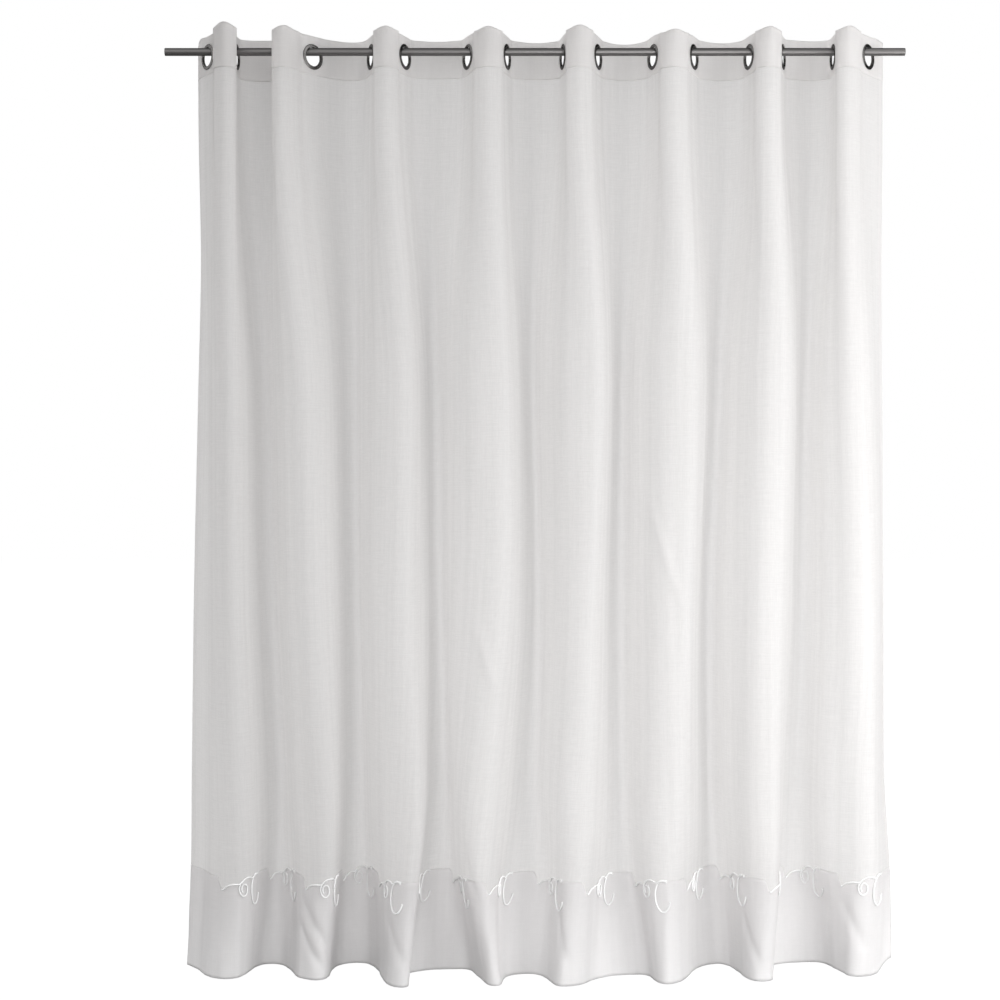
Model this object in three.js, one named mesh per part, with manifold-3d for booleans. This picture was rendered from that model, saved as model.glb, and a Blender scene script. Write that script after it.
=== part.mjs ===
// Sheer voile curtain hanging from steel eyelets on a plain rod.
// Millimetres, +Z up. The origin is the middle of the rod's axis, the rod runs along X
// and the curtain's front faces -Y.

import * as THREE from 'three';
import { mergeVertices } from 'three/addons/utils/BufferGeometryUtils.js';
import Module from 'manifold-3d';

const wasm = await Module();
wasm.setup();

// Rod
const ROD_LENGTH = 1928;
const ROD_RADIUS = 10;
const ROD_SIDES = 36;

// Cloth. A row of eyelets every PITCH along the heading, and a margin outside the end ones.
const PITCH = 210;
const LEFT_MARGIN = 110;
const RIGHT_MARGIN = 85;
const LEFT_EDGE_TURN = 100;
const HEADING_TOP = 50;
const HEADING_FOOT = -60;
const BORDER_TOP = -2140;
const HEM_FOOT = -2405;
const HEADING_THICKNESS = 2;
const VOILE_THICKNESS = 1.2;
const BORDER_THICKNESS = 1.6;
const SIDE_HEM_THICKNESS = 2;
const SEAM_GAP = 0.4;

// Eyelets. Each is a grooved ring that grips the edge of its hole in the heading.
const EYELET_DROP = 13.1;
const EYELET_INNER_RADIUS = 24;
const EYELET_OUTER_RADIUS = 33;
const EYELET_CREST_RADIUS = 26.8;
const EYELET_HALF_WIDTH = 3.2;
const EYELET_BORE_HALF_WIDTH = 1.6;
const GROOVE_RADIUS = 26.2;
const GROOVE_HALF_WIDTH = HEADING_THICKNESS / 2 + 0.3;
const HOLE_RADIUS = 26.6;
const FLAT_HALF = 33.5;
const EYELET_RIM = 0.7;
const EYELET_SIDES = 18;
const PUNCH_LENGTH = 6 * HEADING_THICKNESS;

// Mesh steps
const STEPS_PER_LOOP = 8;
const STEPS_PER_MARGIN = 4;
const STEPS_PER_FLANK = 6;
const PANEL_ROWS = 12;
const BORDER_ROWS = 4;
const FINE_STEPS = 48;
const SOLVE_STEPS = 40;

// How far the folds may be flattened or deepened to keep the cloth's width
const LEAST_DEPTH_SCALE = 0.3;
const MOST_DEPTH_SCALE = 2;

// Each forward fold at the heading, from the left. left and right are the x of its two eyelets, and
// the turns are how many degrees the cloth is turned there from facing the front. dip is how far
// the top edge droops at the fold's ridge, and hollowDip in the hollow to its right.
const FOLDS = [
  { left: -852, leftTurn: 53, right: -777, rightTurn: 87, dip: -6, hollowDip: 0 },
  { left: -672, leftTurn: 88, right: -579, rightTurn: 46, dip: 2, hollowDip: 8 },
  { left: -427, leftTurn: 69, right: -339, rightTurn: 66, dip: 5, hollowDip: 12 },
  { left: -175, leftTurn: 66, right: -73, rightTurn: 73, dip: 5, hollowDip: 12 },
  { left: 73, leftTurn: 79, right: 164, rightTurn: 69, dip: 2, hollowDip: 14 },
  { left: 308, leftTurn: 71, right: 414, rightTurn: 64, dip: 12, hollowDip: 10 },
  { left: 558, leftTurn: 75, right: 646, rightTurn: 70, dip: 6, hollowDip: 4 },
  { left: 777, leftTurn: 89, right: 868, rightTurn: 51, dip: 4, hollowDip: 0 },
];

// Heights at which the table below gives the folds
const LEVELS = { upper: -386, middle: -907, lower: -1428, low: -1897, border: -2145, hem: HEM_FOOT };

// The plan of the folds below the heading: the left edge, then each ridge and hollow in turn, and
// the right edge. The first columns are x at each level. bodyDepth and hemDepth are y, negative
// in front of the rod. Left and right are how far the crest stays level on each side, as a share
// of the way to the next one. tuck is how far a hollow runs in under the ridge on its left near
// the hem, in the same share.
const CRESTS = [
  { upper: -890, middle: -899, lower: -909, low: -915, border: -916, hem: -924,
    bodyDepth: 100, hemDepth: 96, bodyLeft: 0, bodyRight: 0.5,
    hemLeft: 0, hemRight: 0.35, tuck: 0 },
  { upper: -795, middle: -782, lower: -775, low: -767, border: -768, hem: -795,
    bodyDepth: -70, hemDepth: -38, bodyLeft: 0.5, bodyRight: 0.5,
    hemLeft: 0.5, hemRight: 0.65, tuck: 0 },
  { upper: -722, middle: -706, lower: -696, low: -676, border: -683, hem: -705,
    bodyDepth: 68, hemDepth: 103, bodyLeft: 0.35, bodyRight: 0.2,
    hemLeft: 0.6, hemRight: 0.6, tuck: 0 },
  { upper: -621, middle: -595, lower: -570, low: -542, border: -538, hem: -559,
    bodyDepth: -70, hemDepth: -48, bodyLeft: 0.65, bodyRight: 0.6,
    hemLeft: 0.7, hemRight: 0.5, tuck: 0 },
  { upper: -473, middle: -473, lower: -468, low: -458, border: -461, hem: -467,
    bodyDepth: 68, hemDepth: 111, bodyLeft: 0.4, bodyRight: 0.15,
    hemLeft: 0.7, hemRight: 0.6, tuck: 0.5 },
  { upper: -342, middle: -337, lower: -333, low: -307, border: -315, hem: -340,
    bodyDepth: -76, hemDepth: -112, bodyLeft: 0.8, bodyRight: 0.5,
    hemLeft: 0.6, hemRight: 0.25, tuck: 0 },
  { upper: -271, middle: -261, lower: -250, low: -234, border: -223, hem: -189,
    bodyDepth: 66, hemDepth: 52, bodyLeft: 0.4, bodyRight: 0.15,
    hemLeft: 0.95, hemRight: 0.5, tuck: 0.8 },
  { upper: -91, middle: -83, lower: -91, low: -127, border: -139, hem: -101,
    bodyDepth: -76, hemDepth: -100, bodyLeft: 0.85, bodyRight: 0.4,
    hemLeft: 0.5, hemRight: 0.3, tuck: 0 },
  { upper: -11, middle: -4, lower: 10, low: 4, border: 6, hem: -13,
    bodyDepth: 62, hemDepth: 9, bodyLeft: 0.35, bodyRight: 0.15,
    hemLeft: 0.9, hemRight: 0.7, tuck: 0.3 },
  { upper: 157, middle: 162, lower: 139, low: 126, border: 105, hem: 64,
    bodyDepth: -78, hemDepth: -103, bodyLeft: 0.8, bodyRight: 0.4,
    hemLeft: 0.4, hemRight: 0.45, tuck: 0 },
  { upper: 238, middle: 232, lower: 227, low: 230, border: 239, hem: 282,
    bodyDepth: 64, hemDepth: 3, bodyLeft: 0.4, bodyRight: 0.15,
    hemLeft: 0.8, hemRight: 0.5, tuck: 0 },
  { upper: 390, middle: 395, lower: 380, low: 362, border: 343, hem: 333,
    bodyDepth: -72, hemDepth: -84, bodyLeft: 0.8, bodyRight: 0.5,
    hemLeft: 0.6, hemRight: 0.5, tuck: 0 },
  { upper: 498, middle: 484, lower: 461, low: 462, border: 473, hem: 496,
    bodyDepth: 68, hemDepth: 102, bodyLeft: 0.35, bodyRight: 0.2,
    hemLeft: 0.8, hemRight: 0.5, tuck: -0.2 },
  { upper: 628, middle: 628, lower: 610, low: 607, border: 605, hem: 577,
    bodyDepth: -74, hemDepth: -60, bodyLeft: 0.8, bodyRight: 0.45,
    hemLeft: 0.6, hemRight: 0.5, tuck: 0 },
  { upper: 736, middle: 720, lower: 710, low: 703, border: 710, hem: 758,
    bodyDepth: 72, hemDepth: 117, bodyLeft: 0.35, bodyRight: 0.2,
    hemLeft: 0.95, hemRight: 0.5, tuck: 0.5 },
  { upper: 805, middle: 825, lower: 850, low: 857, border: 857, hem: 836,
    bodyDepth: -58, hemDepth: -17, bodyLeft: 0.7, bodyRight: 0.5,
    hemLeft: 0.6, hemRight: 0.5, tuck: 0 },
  { upper: 919, middle: 924, lower: 924, low: 927, border: 942, hem: 944,
    bodyDepth: 66, hemDepth: 71, bodyLeft: 0.35, bodyRight: 0,
    hemLeft: 0.35, hemRight: 0, tuck: 0 },
];

// Softer ridges (positive) and hollows (negative) between the crests. at counts crests from the
// left edge, width is in the same count, and rise is how far the cloth stands out.
const RIPPLES = [
  { at: 2.35, width: 0.16, rise: 12, top: -700, foot: -2200 },
  { at: 6.7, width: 0.14, rise: -10, top: -1000, foot: -1950 },
  { at: 8.65, width: 0.15, rise: -12, top: -1000, foot: -1900 },
  { at: 12.55, width: 0.15, rise: -10, top: -1200, foot: -2250 },
  { at: 14.4, width: 0.17, rise: 20, top: -250, foot: -2300 },
];
const RIPPLE_FADE = 250;

// How much of a tuck its ridge bulges over it
const TUCK_BULGE = 0.25;

// The top corners droop, and the right corner of the hem curls up a little.
const LEFT_CORNER_DIP = 36;
const RIGHT_CORNER_DIP = 8;
const CORNER_LIFT = 26;
const CORNER_WIDTH = 0.55;
const CORNER_HEIGHT = 140;

const STEEL = { color: 0x9a9896, roughness: 0.35, metalness: 1 };
const HEADING_CLOTH = { color: 0xe9e8e6, roughness: 0.9, metalness: 0 };
const VOILE_CLOTH = { color: 0xefeeed, roughness: 0.85, metalness: 0 };
const BORDER_CLOTH = { color: 0xf4f3f3, roughness: 0.9, metalness: 0 };

const radians = THREE.MathUtils.degToRad;
const { lerp, smoothstep } = THREE.MathUtils;

// Eyelets in order, each with the direction in which the cloth runs through it. The cloth comes
// forward through a fold's left eyelet and goes back through its right one.
const EYELETS = FOLDS.flatMap((fold) => [
  { x: fold.left, turn: -fold.leftTurn },
  { x: fold.right, turn: fold.rightTurn },
]);

function direction(degrees) {
  return new THREE.Vector2(Math.cos(radians(degrees)), Math.sin(radians(degrees)));
}

function along(eyelet, distance) {
  return new THREE.Vector2(eyelet.x, 0).addScaledVector(direction(eyelet.turn), distance);
}

// The value of a rising function that reaches the target
function solve(f, target, low, high) {
  for (let i = 0; i < SOLVE_STEPS; i++) {
    const middle = (low + high) / 2;
    if (f(middle) < target) low = middle;
    else high = middle;
  }
  return (low + high) / 2;
}

// Points at even steps along a line that turns by the given function of its share
function turning(start, length, steps, turnAt) {
  const points = [start];
  for (let k = 0; k < steps; k++) {
    const way = direction(turnAt((k + 0.5) / steps));
    points.push(points[k].clone().addScaledVector(way, length / steps));
  }
  return points;
}

// How much further than evenly a loop that swells has turned at a share of its length
function swelling(share) {
  const round = 2 * Math.PI * share;
  return Math.sin(round) + Math.sin(2 * round) / 2 + Math.sin(3 * round) / 3;
}

// The loop of cloth between two eyelets, as long as the pitch leaves for it. Its bend is even but
// for a swell and a lean to one side, which bring its end to the second eyelet.
function loopBetween(from, to) {
  const start = along(from, FLAT_HALF);
  const end = along(to, -FLAT_HALF);
  const loop = (swell, lean) => turning(start, PITCH - 2 * FLAT_HALF, FINE_STEPS, (share) => (
    lerp(from.turn, to.turn, share) + swell * swelling(share) + lean * Math.sin(Math.PI * share) ** 2
  ));
  const miss = (swell, lean) => loop(swell, lean)[FINE_STEPS].sub(end);
  let swell = 0;
  let lean = 0;
  for (let i = 0; i < SOLVE_STEPS; i++) {
    const off = miss(swell, lean);
    const bySwell = miss(swell + 1, lean).sub(off);
    const byLean = miss(swell, lean + 1).sub(off);
    const area = bySwell.cross(byLean);
    swell -= off.cross(byLean) / area;
    lean -= bySwell.cross(off) / area;
  }
  return measured(loop(swell, lean));
}

// The free cloth outside an end eyelet, bending evenly from the eyelet's direction to edgeTurn
function margin(eyelet, length, side, edgeTurn, steps) {
  return turning(along(eyelet, side * FLAT_HALF), side * (length - FLAT_HALF), steps,
    (share) => lerp(eyelet.turn, edgeTurn, share));
}

// The heading's plan as a line of points, with the flats at the eyelets left straight
function headingLine(loopSteps, marginSteps) {
  const first = EYELETS[0];
  const last = EYELETS[EYELETS.length - 1];
  const points = margin(first, LEFT_MARGIN, -1, -LEFT_EDGE_TURN, marginSteps).reverse();
  for (let i = 1; i < EYELETS.length; i++) {
    const loop = loopBetween(EYELETS[i - 1], EYELETS[i]);
    for (let k = 0; k <= loopSteps; k++) points.push(loop.at(loop.total * k / loopSteps));
  }
  points.push(...margin(last, RIGHT_MARGIN, 1, last.turn, marginSteps));
  return points;
}

// A line of points that can be read by the length along it
function measured(points) {
  const lengths = [0];
  for (let i = 1; i < points.length; i++) {
    lengths.push(lengths[i - 1] + points[i].distanceTo(points[i - 1]));
  }
  const total = lengths[lengths.length - 1];
  const at = (length) => {
    const next = lengths.findIndex((l) => l >= length - 1e-9);
    if (next <= 0) return points[next === 0 ? 0 : points.length - 1].clone();
    const share = (length - lengths[next - 1]) / (lengths[next] - lengths[next - 1]);
    return points[next - 1].clone().lerp(points[next], share);
  };
  return { points, lengths, total, at };
}

// The heading's line, and the length along it at the left edge, each crest and the right edge
const heading = measured(headingLine(FINE_STEPS, FINE_STEPS));
const CLOTH_WIDTH = heading.total;

function headingCrests() {
  const crests = [0];
  EYELETS.slice(1).forEach((eyelet, i) => {
    const from = LEFT_MARGIN + i * PITCH;
    const forward = i % 2 === 0;
    let best = from;
    heading.lengths.forEach((length, k) => {
      const y = heading.points[k].y;
      const bestY = heading.at(best).y;
      const nearer = forward ? y < bestY : y > bestY;
      if (length > from && length < from + PITCH && nearer) best = length;
    });
    crests.push(best);
  });
  return [...crests, CLOTH_WIDTH];
}
const HEADING_CRESTS = headingCrests();

// A smooth line through values given at heights that go down
function through(heights, values, z) {
  const last = heights.length - 1;
  if (z >= heights[0]) return values[0];
  if (z <= heights[last]) return values[last];
  const i = heights.findIndex((h) => h < z) - 1;
  const slope = (k) => {
    if (k === 0) return 0;
    const next = Math.min(k + 1, last);
    return (values[next] - values[k - 1]) / (heights[next] - heights[k - 1]);
  };
  const span = heights[i + 1] - heights[i];
  const t = (z - heights[i]) / span;
  const t2 = t * t;
  const t3 = t2 * t;
  return (2 * t3 - 3 * t2 + 1) * values[i] + (t3 - 2 * t2 + t) * span * slope(i)
    + (3 * t2 - 2 * t3) * values[i + 1] + (t3 - t2) * span * slope(i + 1);
}

// Where each crest lies in plan at height z
function crestsAt(z) {
  const names = Object.keys(LEVELS);
  const heights = [HEADING_FOOT, ...names.map((name) => LEVELS[name])];
  const depthHeights = [HEADING_FOOT, LEVELS.upper, LEVELS.lower, LEVELS.hem];
  return CRESTS.map((crest, i) => {
    const top = heading.at(HEADING_CRESTS[i]);
    const x = through(heights, [top.x, ...names.map((name) => crest[name])], z);
    const depths = [top.y, crest.bodyDepth, crest.bodyDepth, crest.hemDepth];
    return new THREE.Vector2(x, through(depthHeights, depths, z));
  });
}

// The cloth between two neighbouring crests, in plan
function flank(from, to, fromRound, toRound, fromEdge, toEdge) {
  const span = to.x - from.x;
  const leave = from.clone();
  const arrive = to.clone();
  if (fromEdge) leave.lerp(to, fromRound);
  else leave.x += fromRound * span;
  if (toEdge) arrive.lerp(from, toRound);
  else arrive.x -= toRound * span;
  return measured(new THREE.CubicBezierCurve(from, leave, arrive, to).getPoints(FINE_STEPS / 2));
}

// The plan of the whole cloth at height z, as one line for each gap between crests. The depth of
// the folds is scaled so that the cloth keeps its width.
function flanksAt(z) {
  const crests = crestsAt(z);
  const middle = crests.reduce((sum, crest) => sum + crest.y, 0) / crests.length;
  const last = crests.length - 1;
  const tucked = smoothstep(-z, -LEVELS.lower, -LEVELS.border);
  const hem = smoothstep(-z, -LEVELS.low, -LEVELS.hem);
  const rightOf = (crest) => lerp(crest.bodyRight, crest.hemRight, hem);
  const leftOf = (crest) => lerp(crest.bodyLeft, crest.hemLeft, hem);
  const flanks = (scale) => {
    const deep = crests.map((c) => new THREE.Vector2(c.x, middle + scale * (c.y - middle)));
    return deep.slice(1).map((to, i) => {
      const tuck = tucked * CRESTS[i + 1].tuck;
      const leave = rightOf(CRESTS[i]) + TUCK_BULGE * tuck;
      const arrive = leftOf(CRESTS[i + 1]) + tuck;
      return flank(deep[i], to, leave, arrive, i === 0, i + 1 === last);
    });
  };
  const width = (scale) => flanks(scale).reduce((sum, f) => sum + f.total, 0);
  return flanks(solve(width, CLOTH_WIDTH, LEAST_DEPTH_SCALE, MOST_DEPTH_SCALE));
}

function rippleAt(place, z) {
  return RIPPLES.reduce((sum, ripple) => {
    const across = Math.exp(-(((place - ripple.at) / ripple.width) ** 2));
    const down = smoothstep(-z, -ripple.top, -ripple.top + RIPPLE_FADE)
      * (1 - smoothstep(-z, -ripple.foot - RIPPLE_FADE, -ripple.foot));
    return sum + ripple.rise * across * down;
  }, 0);
}

// A point of the cloth's middle surface below the heading. place counts crests from the left
// edge, so 1.5 is half way along the cloth from the first ridge to the first hollow.
const plans = new Map();
function clothPoint(place, z) {
  if (!plans.has(z)) plans.set(z, flanksAt(z));
  const flanks = plans.get(z);
  const i = Math.min(Math.floor(place), flanks.length - 1);
  const share = place - i;
  const body = flanks[i].at(share * flanks[i].total);
  const top = heading.at(lerp(HEADING_CRESTS[i], HEADING_CRESTS[i + 1], share));
  const settled = smoothstep(-z, -HEADING_FOOT, -LEVELS.middle);
  const plan = top.lerp(body, settled);
  const corner = smoothstep(place, CRESTS.length - 1 - CORNER_WIDTH, CRESTS.length - 1)
    * smoothstep(-z, -HEM_FOOT - CORNER_HEIGHT, -HEM_FOOT);
  return new THREE.Vector3(plan.x, plan.y - rippleAt(place, z), z + CORNER_LIFT * corner);
}

// A closed solid of cloth about a grid of middle points, counted from the top left as seen
// from the front
function sheetSolid(grid, thicknessAt) {
  const rows = grid.length;
  const columns = grid[0].length;
  const positions = [];
  const front = (r, c) => 2 * (r * columns + c);
  const back = (r, c) => front(r, c) + 1;
  grid.forEach((line, r) => line.forEach((point, c) => {
    const across = line[Math.min(c + 1, columns - 1)].clone().sub(line[Math.max(c - 1, 0)]);
    const down = grid[Math.min(r + 1, rows - 1)][c].clone().sub(grid[Math.max(r - 1, 0)][c]);
    const normal = down.cross(across).normalize();
    const half = thicknessAt(c) / 2;
    positions.push(...point.clone().addScaledVector(normal, half).toArray());
    positions.push(...point.clone().addScaledVector(normal, -half).toArray());
  }));
  const faces = [];
  const quad = (a, b, c, d) => faces.push(a, b, c, a, c, d);
  for (let r = 0; r < rows - 1; r++) {
    for (let c = 0; c < columns - 1; c++) {
      quad(front(r, c), front(r + 1, c), front(r + 1, c + 1), front(r, c + 1));
      quad(back(r, c), back(r, c + 1), back(r + 1, c + 1), back(r + 1, c));
    }
    const right = columns - 1;
    quad(front(r, 0), back(r, 0), back(r + 1, 0), front(r + 1, 0));
    quad(front(r, right), front(r + 1, right), back(r + 1, right), back(r, right));
  }
  for (let c = 0; c < columns - 1; c++) {
    const foot = rows - 1;
    quad(front(0, c), front(0, c + 1), back(0, c + 1), back(0, c));
    quad(front(foot, c), back(foot, c), back(foot, c + 1), front(foot, c + 1));
  }
  const geometry = new THREE.BufferGeometry();
  geometry.setAttribute('position', new THREE.Float32BufferAttribute(positions, 3));
  geometry.setIndex(faces);
  return geometry;
}

// A solid that can be cut
function toSolid(geometry) {
  const bare = geometry.clone();
  bare.deleteAttribute('normal');
  bare.deleteAttribute('uv');
  const merged = mergeVertices(bare, 1e-4);
  return new wasm.Manifold(new wasm.Mesh({
    numProp: 3,
    vertProperties: new Float32Array(merged.attributes.position.array),
    triVerts: new Uint32Array(merged.index.array),
  }));
}

// A solid after cutting, back as triangles
function toGeometry(solid) {
  const { numProp, vertProperties, triVerts } = solid.getMesh();
  const geometry = new THREE.BufferGeometry();
  const positions = new Float32Array(vertProperties.length / numProp * 3);
  for (let i = 0; i < positions.length / 3; i++) {
    positions.set(vertProperties.subarray(i * numProp, i * numProp + 3), i * 3);
  }
  geometry.setAttribute('position', new THREE.BufferAttribute(positions, 3));
  geometry.setIndex(new THREE.BufferAttribute(new Uint32Array(triVerts), 1));
  return geometry;
}

// Height of the heading's top edge at a length along it
function headingTopAt(length) {
  const dips = FOLDS.flatMap((fold) => [fold.dip, fold.hollowDip]);
  const between = dips.reduce((sum, dip, i) => {
    const off = Math.abs(length - LEFT_MARGIN - (i + 0.5) * PITCH);
    return sum + dip * smoothstep(PITCH / 2 - off, 0, PITCH / 2);
  }, 0);
  const left = LEFT_CORNER_DIP * smoothstep(LEFT_MARGIN - length, FLAT_HALF, LEFT_MARGIN);
  const fromRightEdge = CLOTH_WIDTH - length;
  const right = RIGHT_CORNER_DIP * smoothstep(RIGHT_MARGIN - fromRightEdge, FLAT_HALF, RIGHT_MARGIN);
  return HEADING_TOP - between - left - right;
}

// The doubled strip along the top, with a hole for each eyelet
function headingGeometry() {
  const line = headingLine(STEPS_PER_LOOP, STEPS_PER_MARGIN);
  const lengths = measured(line).lengths;
  const grid = [
    line.map((p, i) => new THREE.Vector3(p.x, p.y, headingTopAt(lengths[i]))),
    line.map((p) => new THREE.Vector3(p.x, p.y, HEADING_FOOT)),
  ];
  let band = toSolid(sheetSolid(grid, () => HEADING_THICKNESS));
  for (const eyelet of EYELETS) {
    const punch = new THREE.CylinderGeometry(HOLE_RADIUS, HOLE_RADIUS, PUNCH_LENGTH, EYELET_SIDES);
    punch.rotateZ(radians(eyelet.turn)).translate(eyelet.x, 0, -EYELET_DROP);
    band = band.subtract(toSolid(punch));
  }
  return toGeometry(band);
}

// Middle points of the cloth between two heights
function clothGrid(top, foot, rows) {
  const steps = (CRESTS.length - 1) * STEPS_PER_FLANK;
  const grid = [];
  for (let r = 0; r <= rows; r++) {
    const line = [];
    for (let c = 0; c <= steps; c++) {
      const place = c / STEPS_PER_FLANK;
      line.push(clothPoint(place, lerp(top, foot, r / rows)));
    }
    grid.push(line);
  }
  return grid;
}

// The sheer cloth between the two strips, a little thicker along its side hems
function voileGeometry() {
  const grid = clothGrid(HEADING_FOOT - SEAM_GAP, BORDER_TOP + SEAM_GAP, PANEL_ROWS);
  const last = grid[0].length - 1;
  const thickness = (c) => (c === 0 || c === last ? SIDE_HEM_THICKNESS : VOILE_THICKNESS);
  return sheetSolid(grid, thickness);
}

// The doubled strip along the hem
function borderGeometry() {
  return sheetSolid(clothGrid(BORDER_TOP, HEM_FOOT, BORDER_ROWS), () => BORDER_THICKNESS);
}

// A ring turned about the axis of its hole, with a groove for the heading
function eyeletGeometry() {
  const profile = [
    [EYELET_INNER_RADIUS, -EYELET_BORE_HALF_WIDTH],
    [EYELET_CREST_RADIUS, -EYELET_HALF_WIDTH],
    [EYELET_OUTER_RADIUS, -GROOVE_HALF_WIDTH - EYELET_RIM],
    [EYELET_OUTER_RADIUS, -GROOVE_HALF_WIDTH],
    [GROOVE_RADIUS, -GROOVE_HALF_WIDTH],
  ];
  const mirrored = profile.map(([radius, y]) => [radius, -y]).reverse();
  const outline = [...profile, ...mirrored, profile[0]];
  return new THREE.LatheGeometry(outline.map(([r, y]) => new THREE.Vector2(r, y)), EYELET_SIDES);
}

function piece(name, geometry, finish) {
  const mesh = new THREE.Mesh(geometry, new THREE.MeshStandardMaterial(finish));
  mesh.name = name;
  return mesh;
}

function rod() {
  const bar = new THREE.CylinderGeometry(ROD_RADIUS, ROD_RADIUS, ROD_LENGTH, ROD_SIDES);
  const mesh = piece('rod', bar, STEEL);
  mesh.rotation.z = Math.PI / 2;
  return mesh;
}

// Every eyelet in its hole, with its bore's top resting over the rod
function eyelets() {
  return EYELETS.map((eyelet, i) => {
    const mesh = piece(`eyelet_${String(i + 1).padStart(2, '0')}`, eyeletGeometry(), STEEL);
    mesh.position.set(eyelet.x, 0, -EYELET_DROP);
    mesh.rotation.z = radians(eyelet.turn);
    return mesh;
  });
}

const curtain = new THREE.Group();
curtain.add(
  rod(),
  piece('heading_band', headingGeometry(), HEADING_CLOTH),
  piece('voile_panel', voileGeometry(), VOILE_CLOTH),
  piece('hem_border', borderGeometry(), BORDER_CLOTH),
  ...eyelets(),
);

export default curtain;
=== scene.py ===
"""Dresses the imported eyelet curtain: finer cloth on the same folds with its weave and seams, the
corded border, the steel eyelets, the rod and a studio. The tables are in millimetres, with the
origin in the middle of the rod and +Z up, and the meshes are in metres."""

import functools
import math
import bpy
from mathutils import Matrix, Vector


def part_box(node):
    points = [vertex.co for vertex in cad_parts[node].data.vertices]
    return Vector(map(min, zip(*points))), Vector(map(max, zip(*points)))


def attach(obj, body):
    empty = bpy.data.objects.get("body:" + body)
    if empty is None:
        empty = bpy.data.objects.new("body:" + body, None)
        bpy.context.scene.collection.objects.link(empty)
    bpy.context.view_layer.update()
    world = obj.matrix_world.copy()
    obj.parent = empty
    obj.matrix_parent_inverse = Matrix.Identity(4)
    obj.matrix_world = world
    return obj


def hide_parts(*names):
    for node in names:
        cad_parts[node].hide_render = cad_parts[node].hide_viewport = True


bl_info = {
    "name": "Sheer eyelet curtain",
    "version": (1, 0, 0),
    "blender": (4, 5, 0),
    "location": "3D View > Sidebar > Curtain",
    "description": "Makes the cloth, trim, eyelets, rod and studio of a sheer eyelet curtain",
    "category": "Add Mesh",
}

from collections import namedtuple

import bpy
import numpy as np
from bpy.props import FloatProperty, FloatVectorProperty, PointerProperty
from mathutils import Matrix, Vector, noise

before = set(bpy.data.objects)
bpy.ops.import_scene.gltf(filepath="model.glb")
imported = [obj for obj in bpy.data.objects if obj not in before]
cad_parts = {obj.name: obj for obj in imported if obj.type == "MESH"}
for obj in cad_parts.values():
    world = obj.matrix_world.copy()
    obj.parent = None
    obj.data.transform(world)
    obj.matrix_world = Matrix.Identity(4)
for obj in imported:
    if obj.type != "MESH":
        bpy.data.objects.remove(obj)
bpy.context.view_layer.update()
ROD_LOW, ROD_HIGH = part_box("rod")
MM = 0.001

# The cloth's plan, in the words and sizes of the part
PITCH = 210
LEFT_MARGIN = 110
RIGHT_MARGIN = 85
LEFT_EDGE_TURN = 100
HEADING_TOP = 50
HEADING_FOOT = -60
BORDER_TOP = -2140
HEM_FOOT = -2405
EYELET_DROP = 13.1
HOLE_RADIUS = 26.6
FLAT_HALF = 33.5
RIPPLE_FADE = 250
LEFT_CORNER_DIP = 36
RIGHT_CORNER_DIP = 8
CORNER_LIFT = 26
CORNER_WIDTH = 0.55
CORNER_HEIGHT = 140
FINE_STEPS = 48
SOLVE_STEPS = 40
LEAST_DEPTH_SCALE = 0.3
MOST_DEPTH_SCALE = 2

# Only the fine cloth's top edge droops beside each ridge: how far, and how far from the ridge it
# reaches that. Where the top edge droops by more than the most at an eyelet, the heading also
# gives below the top of the holes.
SHOULDER_DROOP = 9
SHOULDER_REACH = 38
MOST_DROOP_AT_EYELET = 14

# Each forward fold at the heading, from the left: the x of its two eyelets, how many degrees the
# cloth is turned there, and how far the top edge droops at its ridge and in the hollow after it
Fold = namedtuple("Fold", "left left_turn right right_turn dip hollow_dip")
FOLDS = (
    Fold(-852, 53, -777, 87, -6, 0),
    Fold(-672, 88, -579, 46, 2, 8),
    Fold(-427, 69, -339, 66, 5, 12),
    Fold(-175, 66, -73, 73, 5, 12),
    Fold(73, 79, 164, 69, 2, 14),
    Fold(308, 71, 414, 64, 12, 10),
    Fold(558, 75, 646, 70, 6, 4),
    Fold(777, 89, 868, 51, 4, 0),
)

# Heights at which the crests are given
HEIGHTS = (-386, -907, -1428, -1897, -2145, HEM_FOOT)
UPPER, MIDDLE, LOWER, LOW, BORDER, HEM = HEIGHTS

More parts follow.
